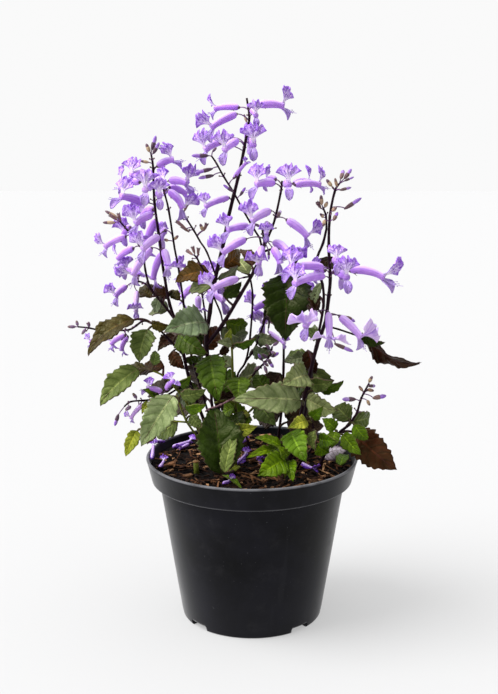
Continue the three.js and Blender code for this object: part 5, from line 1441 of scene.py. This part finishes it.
def swelling(bm, foot, along, length, thick, profile, skin, tint, flat=1.0, tip=None):
    """A small round body along a line, with the given profile."""
    path = [foot + along * (length * t) for t, _ in profile]
    limb(bm, path, [thick * share for _, share in profile], 8, skin, tint, flat, tip=tip)


def ways_round(along):
    """The ways out from an axis to the teeth of a calyx."""
    for turn in range(CALYX_TEETH):
        yield Matrix.Rotation(2 * pi * turn / CALYX_TEETH, 3, along) @ along.orthogonal().normalized()


def calyx(bm, base, along, size, tint):
    """The small ribbed and toothed cup at the foot of a flower."""
    tall = CALYX_LENGTH * MM * (0.6 + 0.4 * size)
    wide = CALYX_RADIUS * MM * (0.6 + 0.4 * size)
    swelling(bm, base, along, tall, wide, CALYX_PROFILE, CALYX, tint)
    for way in ways_round(along):
        root = base + along * (tall * 0.85) + way * (wide * 0.9)
        end = root + along * (0.5 * tall) + way * (0.28 * tall)
        limb(bm, [root, end], [0.42 * MM, 0.12 * MM], 4, CALYX, tint)


def bell_teeth(bm, end, along, wide, tint):
    """The teeth that spread from the mouth of an empty calyx."""
    for way in ways_round(along):
        root = end + way * (wide * 0.8) - along * (0.4 * MM)
        limb(bm, [root, root + (along + way * 0.6) * (0.9 * wide)], [0.45 * MM, 0.12 * MM], 4, CALYX, tint)


def flower_on_spray(bm, row, rachis):
    """An open flower with its calyx and its stalk."""
    base, mouth, *differs = row
    flower = {**ORDINARY_FLOWER, **(differs[0] if differs else {})}
    spot = flower_frame(place(base), place(mouth))
    root, up = nearest([rachis], spot.base - Vector((0, 0, 3 * MM)))
    tint = random.choice(LAVENDER)
    reach = (spot.base - root).length
    bend = root + (spot.base - root) * 0.5 + (up * 0.18 - spot.along * 0.12) * reach
    stalk = arc(root, bend, spot.base - spot.along * (0.6 * MM), 6)
    radii = [(PEDICEL_RADIUS - 0.03 * i) * MM for i in range(7)]
    limb(bm, stalk, radii, 6, STEM, mixed(PEDICEL, STALK, random.random() * 0.6))
    calyx(bm, spot.base, spot.along, flower["size"], CALYX_TINT)
    bloom(bm, spot, flower, tint)


def bud_on_spray(bm, row, rachis, spent, plum):
    """A bud in its cup, a small bead, or the bell of a calyx that has lost its flower, each on its stalk."""
    base, tip, *thick = row
    thick = (thick[0] if thick else BUD_RADIUS) * MM
    low, high = place(base), place(tip)
    root, up = nearest([rachis], low - Vector((0, 0, 1.5 * MM)))
    along = (high - low).normalized()
    length = (high - low).length
    reach = (low - root).length
    bend = root + (low - root) * 0.5 + up * (0.15 * reach)
    limb(bm, arc(root, bend, low, 5), [BUD_STALK_RADIUS * MM] * 6, 6, STEM, PEDICEL)
    shade = random.random()
    body = (bm, low, along, length, thick)
    if spent and shade > 0.4 and not plum:
        swelling(*body, BELL_PROFILE, CALYX, mixed(SPENT, SPENT_DARK, shade - 0.4), tip=SPENT_RIM)
        bell_teeth(bm, high, along, 0.9 * thick, SPENT_RIM)
    elif spent or length < BEAD_LENGTH * MM:
        bead = mixed(PLUM, rgb(150, 124, 158), 0.6 * shade) if plum else mixed(BEAD, SPENT, shade)
        swelling(*body, BEAD_PROFILE, CALYX, bead)
        swelling(*body, BEAD_TIP_PROFILE, CALYX, mixed(SPENT_RIM, BEAD, 0.3 * shade))
    else:
        swelling(*body, BUD_CUP_PROFILE, CALYX, mixed(CALYX_TINT, PLUM if plum else SPENT, shade * 0.5))
        pale = mixed(rgb(206, 182, 222), rgb(178, 140, 214), shade)
        swelling(*body, BUD_PROFILE, TUBE, pale, 0.9, tip=rgb(98, 62, 140))


# Stems and sprays


def knotted(path, thick, thin, steps):
    """Radii that taper along a smoothed path and swell a little at each of its first points."""
    radii = []
    for i in range(len(path)):
        taper = thick + (thin - thick) * i / (len(path) - 1)
        radii.append(taper * MM * (KNOT if i % steps == 0 and 0 < i < len(path) - 1 else 1.0))
    return radii


def stem_limb(bm, points, thick, thin, tint, steps=STEM_STEPS):
    """One squarish stem that flows through its points."""
    path = flowing(points, steps)
    limb(bm, path, knotted(path, thick, thin, steps), 8, STEM, tint, square=SQUARENESS)


def leafy_stem(name, rows, skins):
    """A stem from the soil up, with its branches and leaves."""
    bm = new_bmesh()
    tint = OLIVE_STEM if name in OLIVE_STEMS else MAIN_STEM
    x, y = rows["foot"]
    rooted = [Vector((x * MM, y * MM, (SOIL_TOP + rise) * MM)) for rise in (-11, 3)]
    main = rooted + [place(spot) for spot in rows["path"]]
    stem_limb(bm, main, *rows["thick"], tint)
    branches = []
    for thick, thin, spots in rows.get("branches", []):
        branches.append([place(spot) for spot in spots])
        stem_limb(bm, branches[-1], thick, thin, tint)
    for row in rows["leaves"]:
        leaf_on_stem(bm, row, [main, *branches], name in BACK_STEMS)
    piece(name + "_growth", bm, skins, "leaf", name)


def stub(bm, rachis, i):
    """The pair of short stalks, each with its bead, that dropped flowers leave at a joint of the axis."""
    along = (rachis[i + 1] - rachis[i - 1]).normalized()
    across = Matrix.Rotation(pi * random.random(), 3, along) @ along.orthogonal().normalized()
    for hand in (-1, 1):
        reach = (1.6 + 2.2 * random.random()) * MM
        out = (across * hand + along * 0.7).normalized()
        end = rachis[i] + out * reach
        stalk = [rachis[i], (rachis[i] + end) / 2 + along * (0.2 * MM), end]
        limb(bm, stalk, [0.4 * MM] * 3, 5, STEM, PEDICEL)
        bead = [end - out * (0.3 * MM), end + out * (0.5 * MM), end + out * (1.2 * MM)]
        limb(bm, bead, [0.3 * MM, 0.75 * MM, 0.3 * MM], 6, CALYX, SPENT_DARK)


def spray(name, rows, skins):
    """A flowering axis with the stubs, flowers and buds that it carries."""
    bm = new_bmesh()
    rows = {**ORDINARY_SPRAY, **rows}
    rachis = [place(spot) for spot in rows["path"]]
    thick, thin = rows["thick"]
    stem_limb(bm, rachis, thick * 1.05, thin * 0.95, MAIN_STEM, SPRAY_STEPS)
    for i in range(1, len(rachis) - 1):
        stub(bm, rachis, i)
    for row in rows["flowers"]:
        flower_on_spray(bm, row, rachis)
    for row in rows["buds"]:
        bud_on_spray(bm, row, rachis, name in SPENT_SPRAYS, name in PLUM_SPRAYS)
    piece(name + "_blossom", bm, skins, "flower", name)


# The pot and its soil


def turned(bm, profile, steps):
    """A solid turned about the upright axis from a profile of (radius, height) in millimetres."""
    points = [bm.verts.new((r * MM, 0, z * MM)) for r, z in profile]
    edges = [bm.edges.new(pair) for pair in zip(points, points[1:])]
    spin = dict(cent=(0, 0, 0), axis=(0, 0, 1), angle=2 * pi, steps=steps, use_merge=True)
    bmesh.ops.spin(bm, geom=points + edges, **spin)
    bmesh.ops.remove_doubles(bm, verts=bm.verts, dist=WELD)
    bmesh.ops.recalc_face_normals(bm, faces=bm.faces)


def rounded(centre, radius, start, end, steps=4):
    """Points on a quarter round of a profile."""
    turns = (radians(start + (end - start) * i / steps) for i in range(steps + 1))
    return [(centre[0] + radius * cos(a), centre[1] + radius * sin(a)) for a in turns]


def wall_radius(z):
    """The pot's outer radius below its band."""
    return BASE_RADIUS + (BODY_TOP_RADIUS - SHOULDER_ROUND - BASE_RADIUS) * z / (BAND_FOOT - SHOULDER)


def pot_profile():
    """The half section of the pot, from the middle of its foot round the rim to the middle of its floor."""
    above_notch = NOTCH_HEIGHT + 1.5
    lean = (RIM_RADIUS - BAND_FOOT_RADIUS) / BAND_HEIGHT
    return [
        (0, FOOT_RECESS),
        (BASE_RADIUS - FOOT_RING, FOOT_RECESS),
        (BASE_RADIUS - FOOT_RING + 2, 0),
        *rounded((BASE_RADIUS - FOOT_ROUND, FOOT_ROUND), FOOT_ROUND, -90, 0),
        (wall_radius(above_notch), above_notch),
        (wall_radius(BAND_FOOT / 2), BAND_FOOT / 2),
        (wall_radius(BAND_FOOT - SHOULDER), BAND_FOOT - SHOULDER),
        *rounded((BODY_TOP_RADIUS + 1.0, BAND_FOOT - SHOULDER_ROUND), SHOULDER_ROUND, 180, 90),
        *rounded((BAND_FOOT_RADIUS - BAND_ROUND, BAND_FOOT + BAND_ROUND), BAND_ROUND, -90, 0),
        (BAND_FOOT_RADIUS + lean * (BAND_HEIGHT - 3.2), POT_HEIGHT - 3.2),
        *rounded((RIM_RADIUS - RIM_ROUND, POT_HEIGHT - RIM_ROUND), RIM_ROUND, 0, 90),
        *rounded((RIM_RADIUS - WALL + 0.4, POT_HEIGHT - RIM_INNER_ROUND), RIM_INNER_ROUND, 90, 180),
        (BAND_FOOT_RADIUS - WALL + 0.2, BAND_FOOT + 2.2),
        (BODY_TOP_RADIUS - WALL + 0.2, BAND_FOOT - 0.6),
        (wall_radius(BAND_FOOT / 2) - WALL, BAND_FOOT / 2),
        (wall_radius(above_notch) - WALL, above_notch),
        (BASE_RADIUS - WALL, FLOOR),
        (0, FLOOR),
    ]


def notch_cutter(i):
    """The block that cuts one drainage notch, rounded along the edges that run inwards."""
    cut = bmesh.new()
    bmesh.ops.create_cube(cut, size=1)
    bmesh.ops.scale(cut, verts=cut.verts, vec=Vector((NOTCH_WIDTH, NOTCH_DEPTH, 2 * NOTCH_HEIGHT)) * MM)
    inward = [e for e in cut.edges if abs(e.verts[0].co.y - e.verts[1].co.y) > NOTCH_DEPTH * MM / 2]
    edge = dict(offset=NOTCH_ROUND * MM, affect="EDGES", segments=3, profile=0.5, material=-1)
    bmesh.ops.bevel(cut, geom=inward, **edge)
    bmesh.ops.translate(cut, verts=cut.verts, vec=(0, -BASE_RADIUS * MM, 0))
    turn = Matrix.Rotation(radians(NOTCH_FIRST + 360 / NOTCH_COUNT * i), 3, "Z")
    bmesh.ops.rotate(cut, verts=cut.verts, matrix=turn)
    return put(f"notch_{i}", mesh_from(f"notch_{i}", cut))


def pot(skin):
    """The nursery pot: one moulded wall with a collar at its rim and drainage notches at its foot."""
    bm = bmesh.new()
    turned(bm, pot_profile(), POT_STEPS)
    for face in bm.faces:
        face.smooth = True
    made = piece("nursery_pot", bm, [skin], "pot", "pot")
    cutters = [notch_cutter(i) for i in range(NOTCH_COUNT)]
    for cutter in cutters:
        notch = made.modifiers.new(cutter.name, "BOOLEAN")
        notch.operation = "DIFFERENCE"
        notch.solver = "EXACT"
        notch.object = cutter
    bpy.context.view_layer.update()
    cut_pot = bpy.data.meshes.new_from_object(made.evaluated_get(bpy.context.evaluated_depsgraph_get()))
    made.modifiers.clear()
    made.data = cut_pot
    for cutter in cutters:
        bpy.data.objects.remove(cutter)


def soil_height(x, y):
    """The height of the soil in millimetres, without its fine lumps."""
    fade = 1 - min(1, hypot(x, y) / SOIL_RADIUS) ** 4
    roll = sin(x / 14 + 1) * cos(y / 16) + 0.4 * sin((x + 2 * y) / 18)
    return SOIL_TOP + SOIL_WAVE * fade * roll


def soil(skin, chip_skin):
    """The body of the soil with its lumpy top, and the bark that lies on it."""
    bm = new_bmesh()
    profile = [
        (0, FLOOR + 0.6),
        (BASE_RADIUS - WALL - 1, FLOOR + 0.6),
        (BODY_TOP_RADIUS - WALL - 0.4, BAND_FOOT - 1),
        (BAND_FOOT_RADIUS - WALL - 0.4, BAND_FOOT + 3),
        *((SOIL_RADIUS * ring / SOIL_RINGS, SOIL_TOP) for ring in range(SOIL_RINGS, -1, -1)),
    ]
    turned(bm, profile, SOIL_STEPS)
    for vert in bm.verts:
        if vert.co.z > (SOIL_TOP - 0.1) * MM:
            x, y = vert.co.x / MM, vert.co.y / MM
            lump = noise.noise(Vector((x / 5, y / 5, 0))) * 1.1
            lump += noise.noise(Vector((x / 1.8, y / 1.8, 3))) * 0.6
            vert.co.z = (soil_height(x, y) + lump - 0.3) * MM
    dress(bm, list(bm.verts), 0, rgb(40, 26, 20))
    chips(bm, CHIPS, CHIP_LENGTHS, True)
    chips(bm, CRUMBS, CRUMB_LENGTHS, False)
    slivers(bm, SLIVERS)
    piece("bark_soil", bm, [skin, chip_skin], "soil", "soil")


BARK_TINTS = [
    rgb(54, 35, 26),
    rgb(40, 26, 20),
    rgb(28, 18, 15),
    rgb(20, 13, 12),
    rgb(80, 56, 40),
    rgb(132, 100, 74),
    rgb(16, 11, 10),
]
FIBRE_TINTS = [
    rgb(112, 80, 56),
    rgb(84, 56, 38),
    rgb(60, 40, 28),
    rgb(52, 34, 25),
    rgb(36, 23, 18),
    rgb(26, 17, 14),
    rgb(20, 13, 11),
    rgb(168, 132, 98),
]


def strewn(reach):
    """A random place on the soil, in millimetres, not further from the middle than reach."""
    radius = reach * random.random() ** 0.5
    angle = 2 * pi * random.random()
    return radius * cos(angle), radius * sin(angle)


def tumbled(pitch, level, roll):
    """A random heading with a random pitch about level, and a random roll."""
    turn = Matrix.Rotation(2 * pi * random.random(), 3, "Z")
    turn = turn @ Matrix.Rotation(pitch * (random.random() - level), 3, "Y")
    return turn @ Matrix.Rotation(roll * (random.random() - 0.5), 3, "X")


def chips(bm, count, lengths, blunt):
    """Pieces of bark strewn on the soil, each one a small uneven block."""
    for _ in range(count):
        length = (lengths[0] + (lengths[1] - lengths[0]) * random.random() ** 2.2) * MM
        x, y = strewn(SOIL_RADIUS - length / MM / 2 - 1)
        made = bmesh.ops.create_cube(bm, size=1)["verts"]
        if blunt:
            edges = list(dict.fromkeys(edge for vert in made for edge in vert.link_edges))
            worn = dict(offset=0.16, affect="EDGES", segments=1, profile=0.5, material=-1)
            made = bmesh.ops.bevel(bm, geom=edges, **worn)["verts"]
        for vert in made:
            vert.co *= 1 + 0.3 * (random.random() - 0.5)
        wide = length * (0.28 + 0.3 * random.random())
        size = Vector((length, wide, length * (0.12 + 0.12 * random.random()) + 0.4 * MM))
        turn = tumbled(0.7, 0.5, 0.8)
        spot = Vector((x * MM, y * MM, (soil_height(x, y) + 0.5) * MM + size.z * 0.2))
        for vert in made:
            vert.co = spot + turn @ (vert.co * size)
        for face in dress(bm, made, 1, random.choice(BARK_TINTS)):
            face.smooth = False


def slivers(bm, count):
    """Long thin fibres of bark that lie crosswise over the soil, each one split and tapered."""
    for _ in range(count):
        length = 5 + 15 * random.random() ** 1.7
        x, y = strewn(SOIL_RADIUS - 1.5 - length / 2)
        made = bmesh.ops.create_cube(bm, size=1)["verts"]
        size = Vector((length, 0.8 + 1.6 * random.random(), 0.5 + 0.6 * random.random())) * MM
        end = 0.35 + 0.5 * random.random()
        turn = tumbled(0.34, 0.4, 1.2)
        spot = Vector((x * MM, y * MM, (soil_height(x, y) + 0.7 + 1.3 * random.random()) * MM))
        for vert in made:
            thin = end if vert.co.x > 0 else 1
            shift = 0.3 * (random.random() - 0.5)
            at = Vector((vert.co.x + shift * 0.2, vert.co.y * thin + shift, vert.co.z * thin))
            vert.co = spot + turn @ (at * size)
        for face in dress(bm, made, 1, random.choice(FIBRE_TINTS)):
            face.smooth = False


# What has dropped onto the soil

# Middle of each dropped flower that is in the CAD, as real x and y, its heading in degrees and its length
FALLEN_FLOWERS = [
    ((44, -15), -56, 20),
    ((5, 5), -80, 20),
    ((-6, 7), 80, 15),
    ((-72, -11), 82, 14),
    ((-24, -22), 20, 9),
]
# Start and end of each other dropped flower as real x, y and lift above the soil, and its half thickness
DROPPED = [
    ((-80, -8, 6.2), (-80.5, 14, 9.6), 1.7),
    ((-73, 36, 7.5), (-80.5, 29, 9.4), 1.5),
    ((-66, 33, 3.2), (-52, 46, 3.4), 2.1),
    ((-53, 38, 3.6), (-60, 30, 3.0), 1.6),
    ((-12, 46, 3), (-6, 54, 3.2), 1.7),
    ((-22, -58, 2.6), (-16, -52, 3.0), 1.6),
    ((-14, -14, 3.2), (-5, 6, 4.4), 1.5),
]
# Start and end of each dropped petal
PETAL_BITS = [
    ((-23, 2), (-20, 12)),
    ((-26, -10), (-22, -3)),
    ((-27, -24), (-20, -18)),
    ((-16, -24), (-12, -17)),
    ((-20, -12), (-15, -4)),
    ((-10, -8), (-5, 0)),
]
PETAL_BIT_RADII = (0.5, 0.9, 1.0, 0.9, 0.4)
# Start and end of each bit of leaf as real x, y and lift, its width and its shade
LEAF_BITS = [
    ((-25, -36, 3.2), (-7, -65, 1.8), 6, "fresh"),
    ((-17, -33, 2.0), (-9, -22, 5.0), 6, "lime"),
    ((70, -14, 2.5), (76, 8, 5.5), 12, "fresh"),
    ((60, 6, 3.2), (52, 14, 8), 11, "brown"),
]
FALLEN_THICKNESS = 1.9
DRY_LEAF_WIDTH = 16
# The dead twig's places, from the olive stem to the left, as the camera sees them
TWIG = [
    (-14, 184, -17), (-12.8, 181, -26), (-19.1, 177.6, -33), (-27.1, 173.5, -37), (-34.4, 171, -38),
    (-37, 169, -36),
]


def resting(x, y, lift):
    """A point on the soil, with its lift in millimetres."""
    return Vector((x * MM, y * MM, (soil_height(x, y) + lift) * MM))


def wilted(bm, start, end, radius, tint):
    """A dropped flower between two points: a limp tube with its shrunken lips."""
    spot = flower_frame(start, end)
    sag = Vector((0, 0, 0.5 * MM))
    path = [spot.base + spot.along * (spot.length * t) - sag * (4 * t * (1 - t)) for t, _ in TUBE_PROFILE]
    limb(bm, path, [r * radius * MM for _, r in TUBE_PROFILE], 10, TUBE, tint, 0.9, spot.upright)
    lobed = {**ORDINARY_FLOWER, "fan": 18, "lip": 8, "size": 0.22 * radius, "facing": 0.1}
    fan_lip(bm, spot, lobed, mixed(tint, LAVENDER[0], 0.4))
    boat_lip(bm, spot, lobed, tint)


def dropped_flower(number, row, skins):
    """A dropped flower on the soil, wilted and darker, at the height of its CAD node."""
    (x, y), heading, length = row
    bm = new_bmesh()
    way = Vector((cos(radians(heading)), sin(radians(heading)), 0)) * (length / 2 * MM)
    low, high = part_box(f"fallen_flower_{number}")
    middle = Vector((x * MM, y * MM, (low.z + high.z) / 2))
    wilted(bm, middle - way, middle + way, FALLEN_THICKNESS, FALLEN_TINT)
    piece(f"dropped_flower_{number}", bm, skins, "flower", f"fallen_flower_{number}")


def dropped_petals(skins):
    """More dropped flowers and single petals, with one flower over the rim."""
    bm = new_bmesh()
    for start, end, radius in DROPPED:
        tint = mixed(FALLEN_TINT, LAVENDER[2], 0.4 * random.random())
        wilted(bm, resting(*start), resting(*end), radius, tint)
    for start, end in PETAL_BITS:
        low, high = resting(*start, 1.2), resting(*end, 1.4)
        middle = (low + high) / 2 + Vector((0, 0, 0.6 * MM))
        limb(bm, arc(low, middle, high, 4), [r * MM for r in PETAL_BIT_RADII], 6, TUBE, FALLEN_TINT, 0.6)
    piece("dropped_petals", bm, skins, "flower")


def stub_and_leaf_bits(skins):
    """A cut stub of a stem, and bits of leaf on the soil."""
    bm = new_bmesh()
    foot, top = resting(-43, -30, -3), resting(-44, -28, 10)
    limb(bm, [foot, (foot + top) / 2, top], [2.3 * MM, 2.2 * MM, 2.1 * MM], 12, STEM, rgb(84, 96, 30))
    crown = [top + Vector((0, 0, rise * MM)) for rise in (-0.8, 0.3, 0.7)]
    limb(bm, crown, [2.3 * MM, 2.3 * MM, 1.5 * MM], 12, STEM, rgb(150, 118, 78))
    for start, end, width, shade in LEAF_BITS:
        spot = leaf_frame(resting(*start), resting(*end), 0, Vector((0, -0.3, 1)))
        leaf_blade(bm, spot, width * MM, 0.06, 20, 2, shade, (TOP, UNDER))
    piece("cut_stub_and_leaf_bits", bm, skins, "leaf")


def dry_leaf(stalk_skin, blade_skin):
    """The dry leaf that lies curled on the soil."""
    bm = new_bmesh()
    low, high = resting(57, 4, 5.6), resting(76, 7, 8.6)
    spot = leaf_frame(low, high, 0, Vector((0, -0.8, 0.7)))
    leaf_blade(bm, spot, DRY_LEAF_WIDTH * MM, 0.22, -24, 4, "dry", (1, 1))
    bend = low - spot.along * (2 * MM) + spot.face * (0.5 * MM)
    path = [low - spot.along * (5 * MM), bend, low + spot.along * MM]
    limb(bm, path, [0.6 * MM] * 3, 6, 0, rgb(110, 80, 70))
    piece("dry_leaf_curl", bm, [stalk_skin, blade_skin], "dry_leaf", "dry_leaf")


def twig(skin):
    """A dead twisted twig that is caught between the leaves."""
    bm = new_bmesh()
    path = flowing([place(spot) for spot in TWIG], STEM_STEPS)
    thick = [(0.95 + 0.2 * sin(2.4 * i)) * MM for i in range(len(path))]
    limb(bm, path, thick, 8, 0, rgb(136, 108, 110), 0.7, tip=rgb(104, 76, 84))
    piece("dead_twig", bm, [skin], "leaf")


# The studio


def studio_floor():
    """The plain floor that the pot stands on."""
    bm = bmesh.new()
    bmesh.ops.create_grid(bm, x_segments=1, y_segments=1, size=FLOOR_REACH)
    floor = put("floor", mesh_from("floor", bm, [floor_paint()]))


def room_light():
    """The room's soft light by direction, behind a plain pale backdrop that only the camera sees."""
    world = bpy.data.worlds.new("studio")
    world.use_nodes = True
    sky = world.node_tree
    way = sky.nodes.new("ShaderNodeSeparateXYZ")
    sky.links.new(sky.nodes.new("ShaderNodeTexCoord").outputs["Generated"], way.inputs[0])
    light = None
    for axis, *reach in WORLD_LIGHT:
        fall = sky.nodes.new("ShaderNodeMapRange")
        fall.interpolation_type = "SMOOTHSTEP"
        for socket, value in zip(("From Min", "From Max", "To Min", "To Max"), reach):
            fall.inputs[socket].default_value = value
        sky.links.new(way.outputs[axis], fall.inputs["Value"])
        total = fall.outputs["Result"]
        if light:
            both = sky.nodes.new("ShaderNodeMath")
            sky.links.new(light, both.inputs[0])
            sky.links.new(total, both.inputs[1])
            total = both.outputs[0]
        light = total
    seen = sky.nodes.new("ShaderNodeMix")
    sky.links.new(sky.nodes.new("ShaderNodeLightPath").outputs["Is Camera Ray"], seen.inputs["Factor"])
    sky.links.new(light, seen.inputs["A"])
    seen.inputs["B"].default_value = BACKDROP
    sky.nodes["Background"].inputs["Color"].default_value = (1, 1, 1, 1)
    sky.links.new(seen.outputs["Result"], sky.nodes["Background"].inputs["Strength"])
    bpy.context.scene.world = world


def key_lamp():
    """The soft lamp from the upper left."""
    sun = bpy.data.lights.new("key", "SUN")
    sun.energy = KEY_LIGHT
    sun.angle = radians(KEY_SOFTNESS)
    put("key", sun).rotation_euler = (-Vector(KEY_FROM)).to_track_quat("-Z", "Y").to_euler()


def camera():
    """The camera at the photograph's place, angle and field of view."""
    lens = bpy.data.cameras.new("camera")
    lens.lens = LENS
    lens.shift_x = -AXIS_OFFSET / IMAGE_LONG_SIDE
    lens.clip_start = 0.05
    lens.clip_end = 20
    stand = put("camera", lens)
    stand.location = EYE
    stand.rotation_euler = (pi / 2 - CAMERA_PITCH, 0, 0)
    bpy.context.scene.camera = stand
    bpy.context.scene.view_settings.view_transform = "Standard"


random.seed(4105)
studio_floor()
room_light()
key_lamp()
camera()
stem = stem_skin()
pot(pot_plastic())
soil(soil_mix(), bark())
leaf_skins = [stem, leaf_top(), leaf_under()]
flower_skins = [stem, petal_tube(), petal_fan(), petal_lip(), calyx_skin(), filament_skin()]
for stem_name, stem_rows in LEAFY_STEMS.items():
    leafy_stem(stem_name, stem_rows, leaf_skins)
for spray_name, spray_rows in SPRAYS.items():
    spray(spray_name, spray_rows, flower_skins)
for flower_number, flower_row in enumerate(FALLEN_FLOWERS, 1):
    dropped_flower(flower_number, flower_row, flower_skins[:4])
dry_leaf(stem, dry_skin())
dropped_petals(flower_skins)
stub_and_leaf_bits(leaf_skins)
twig(stem)

bpy.context.view_layer.update()
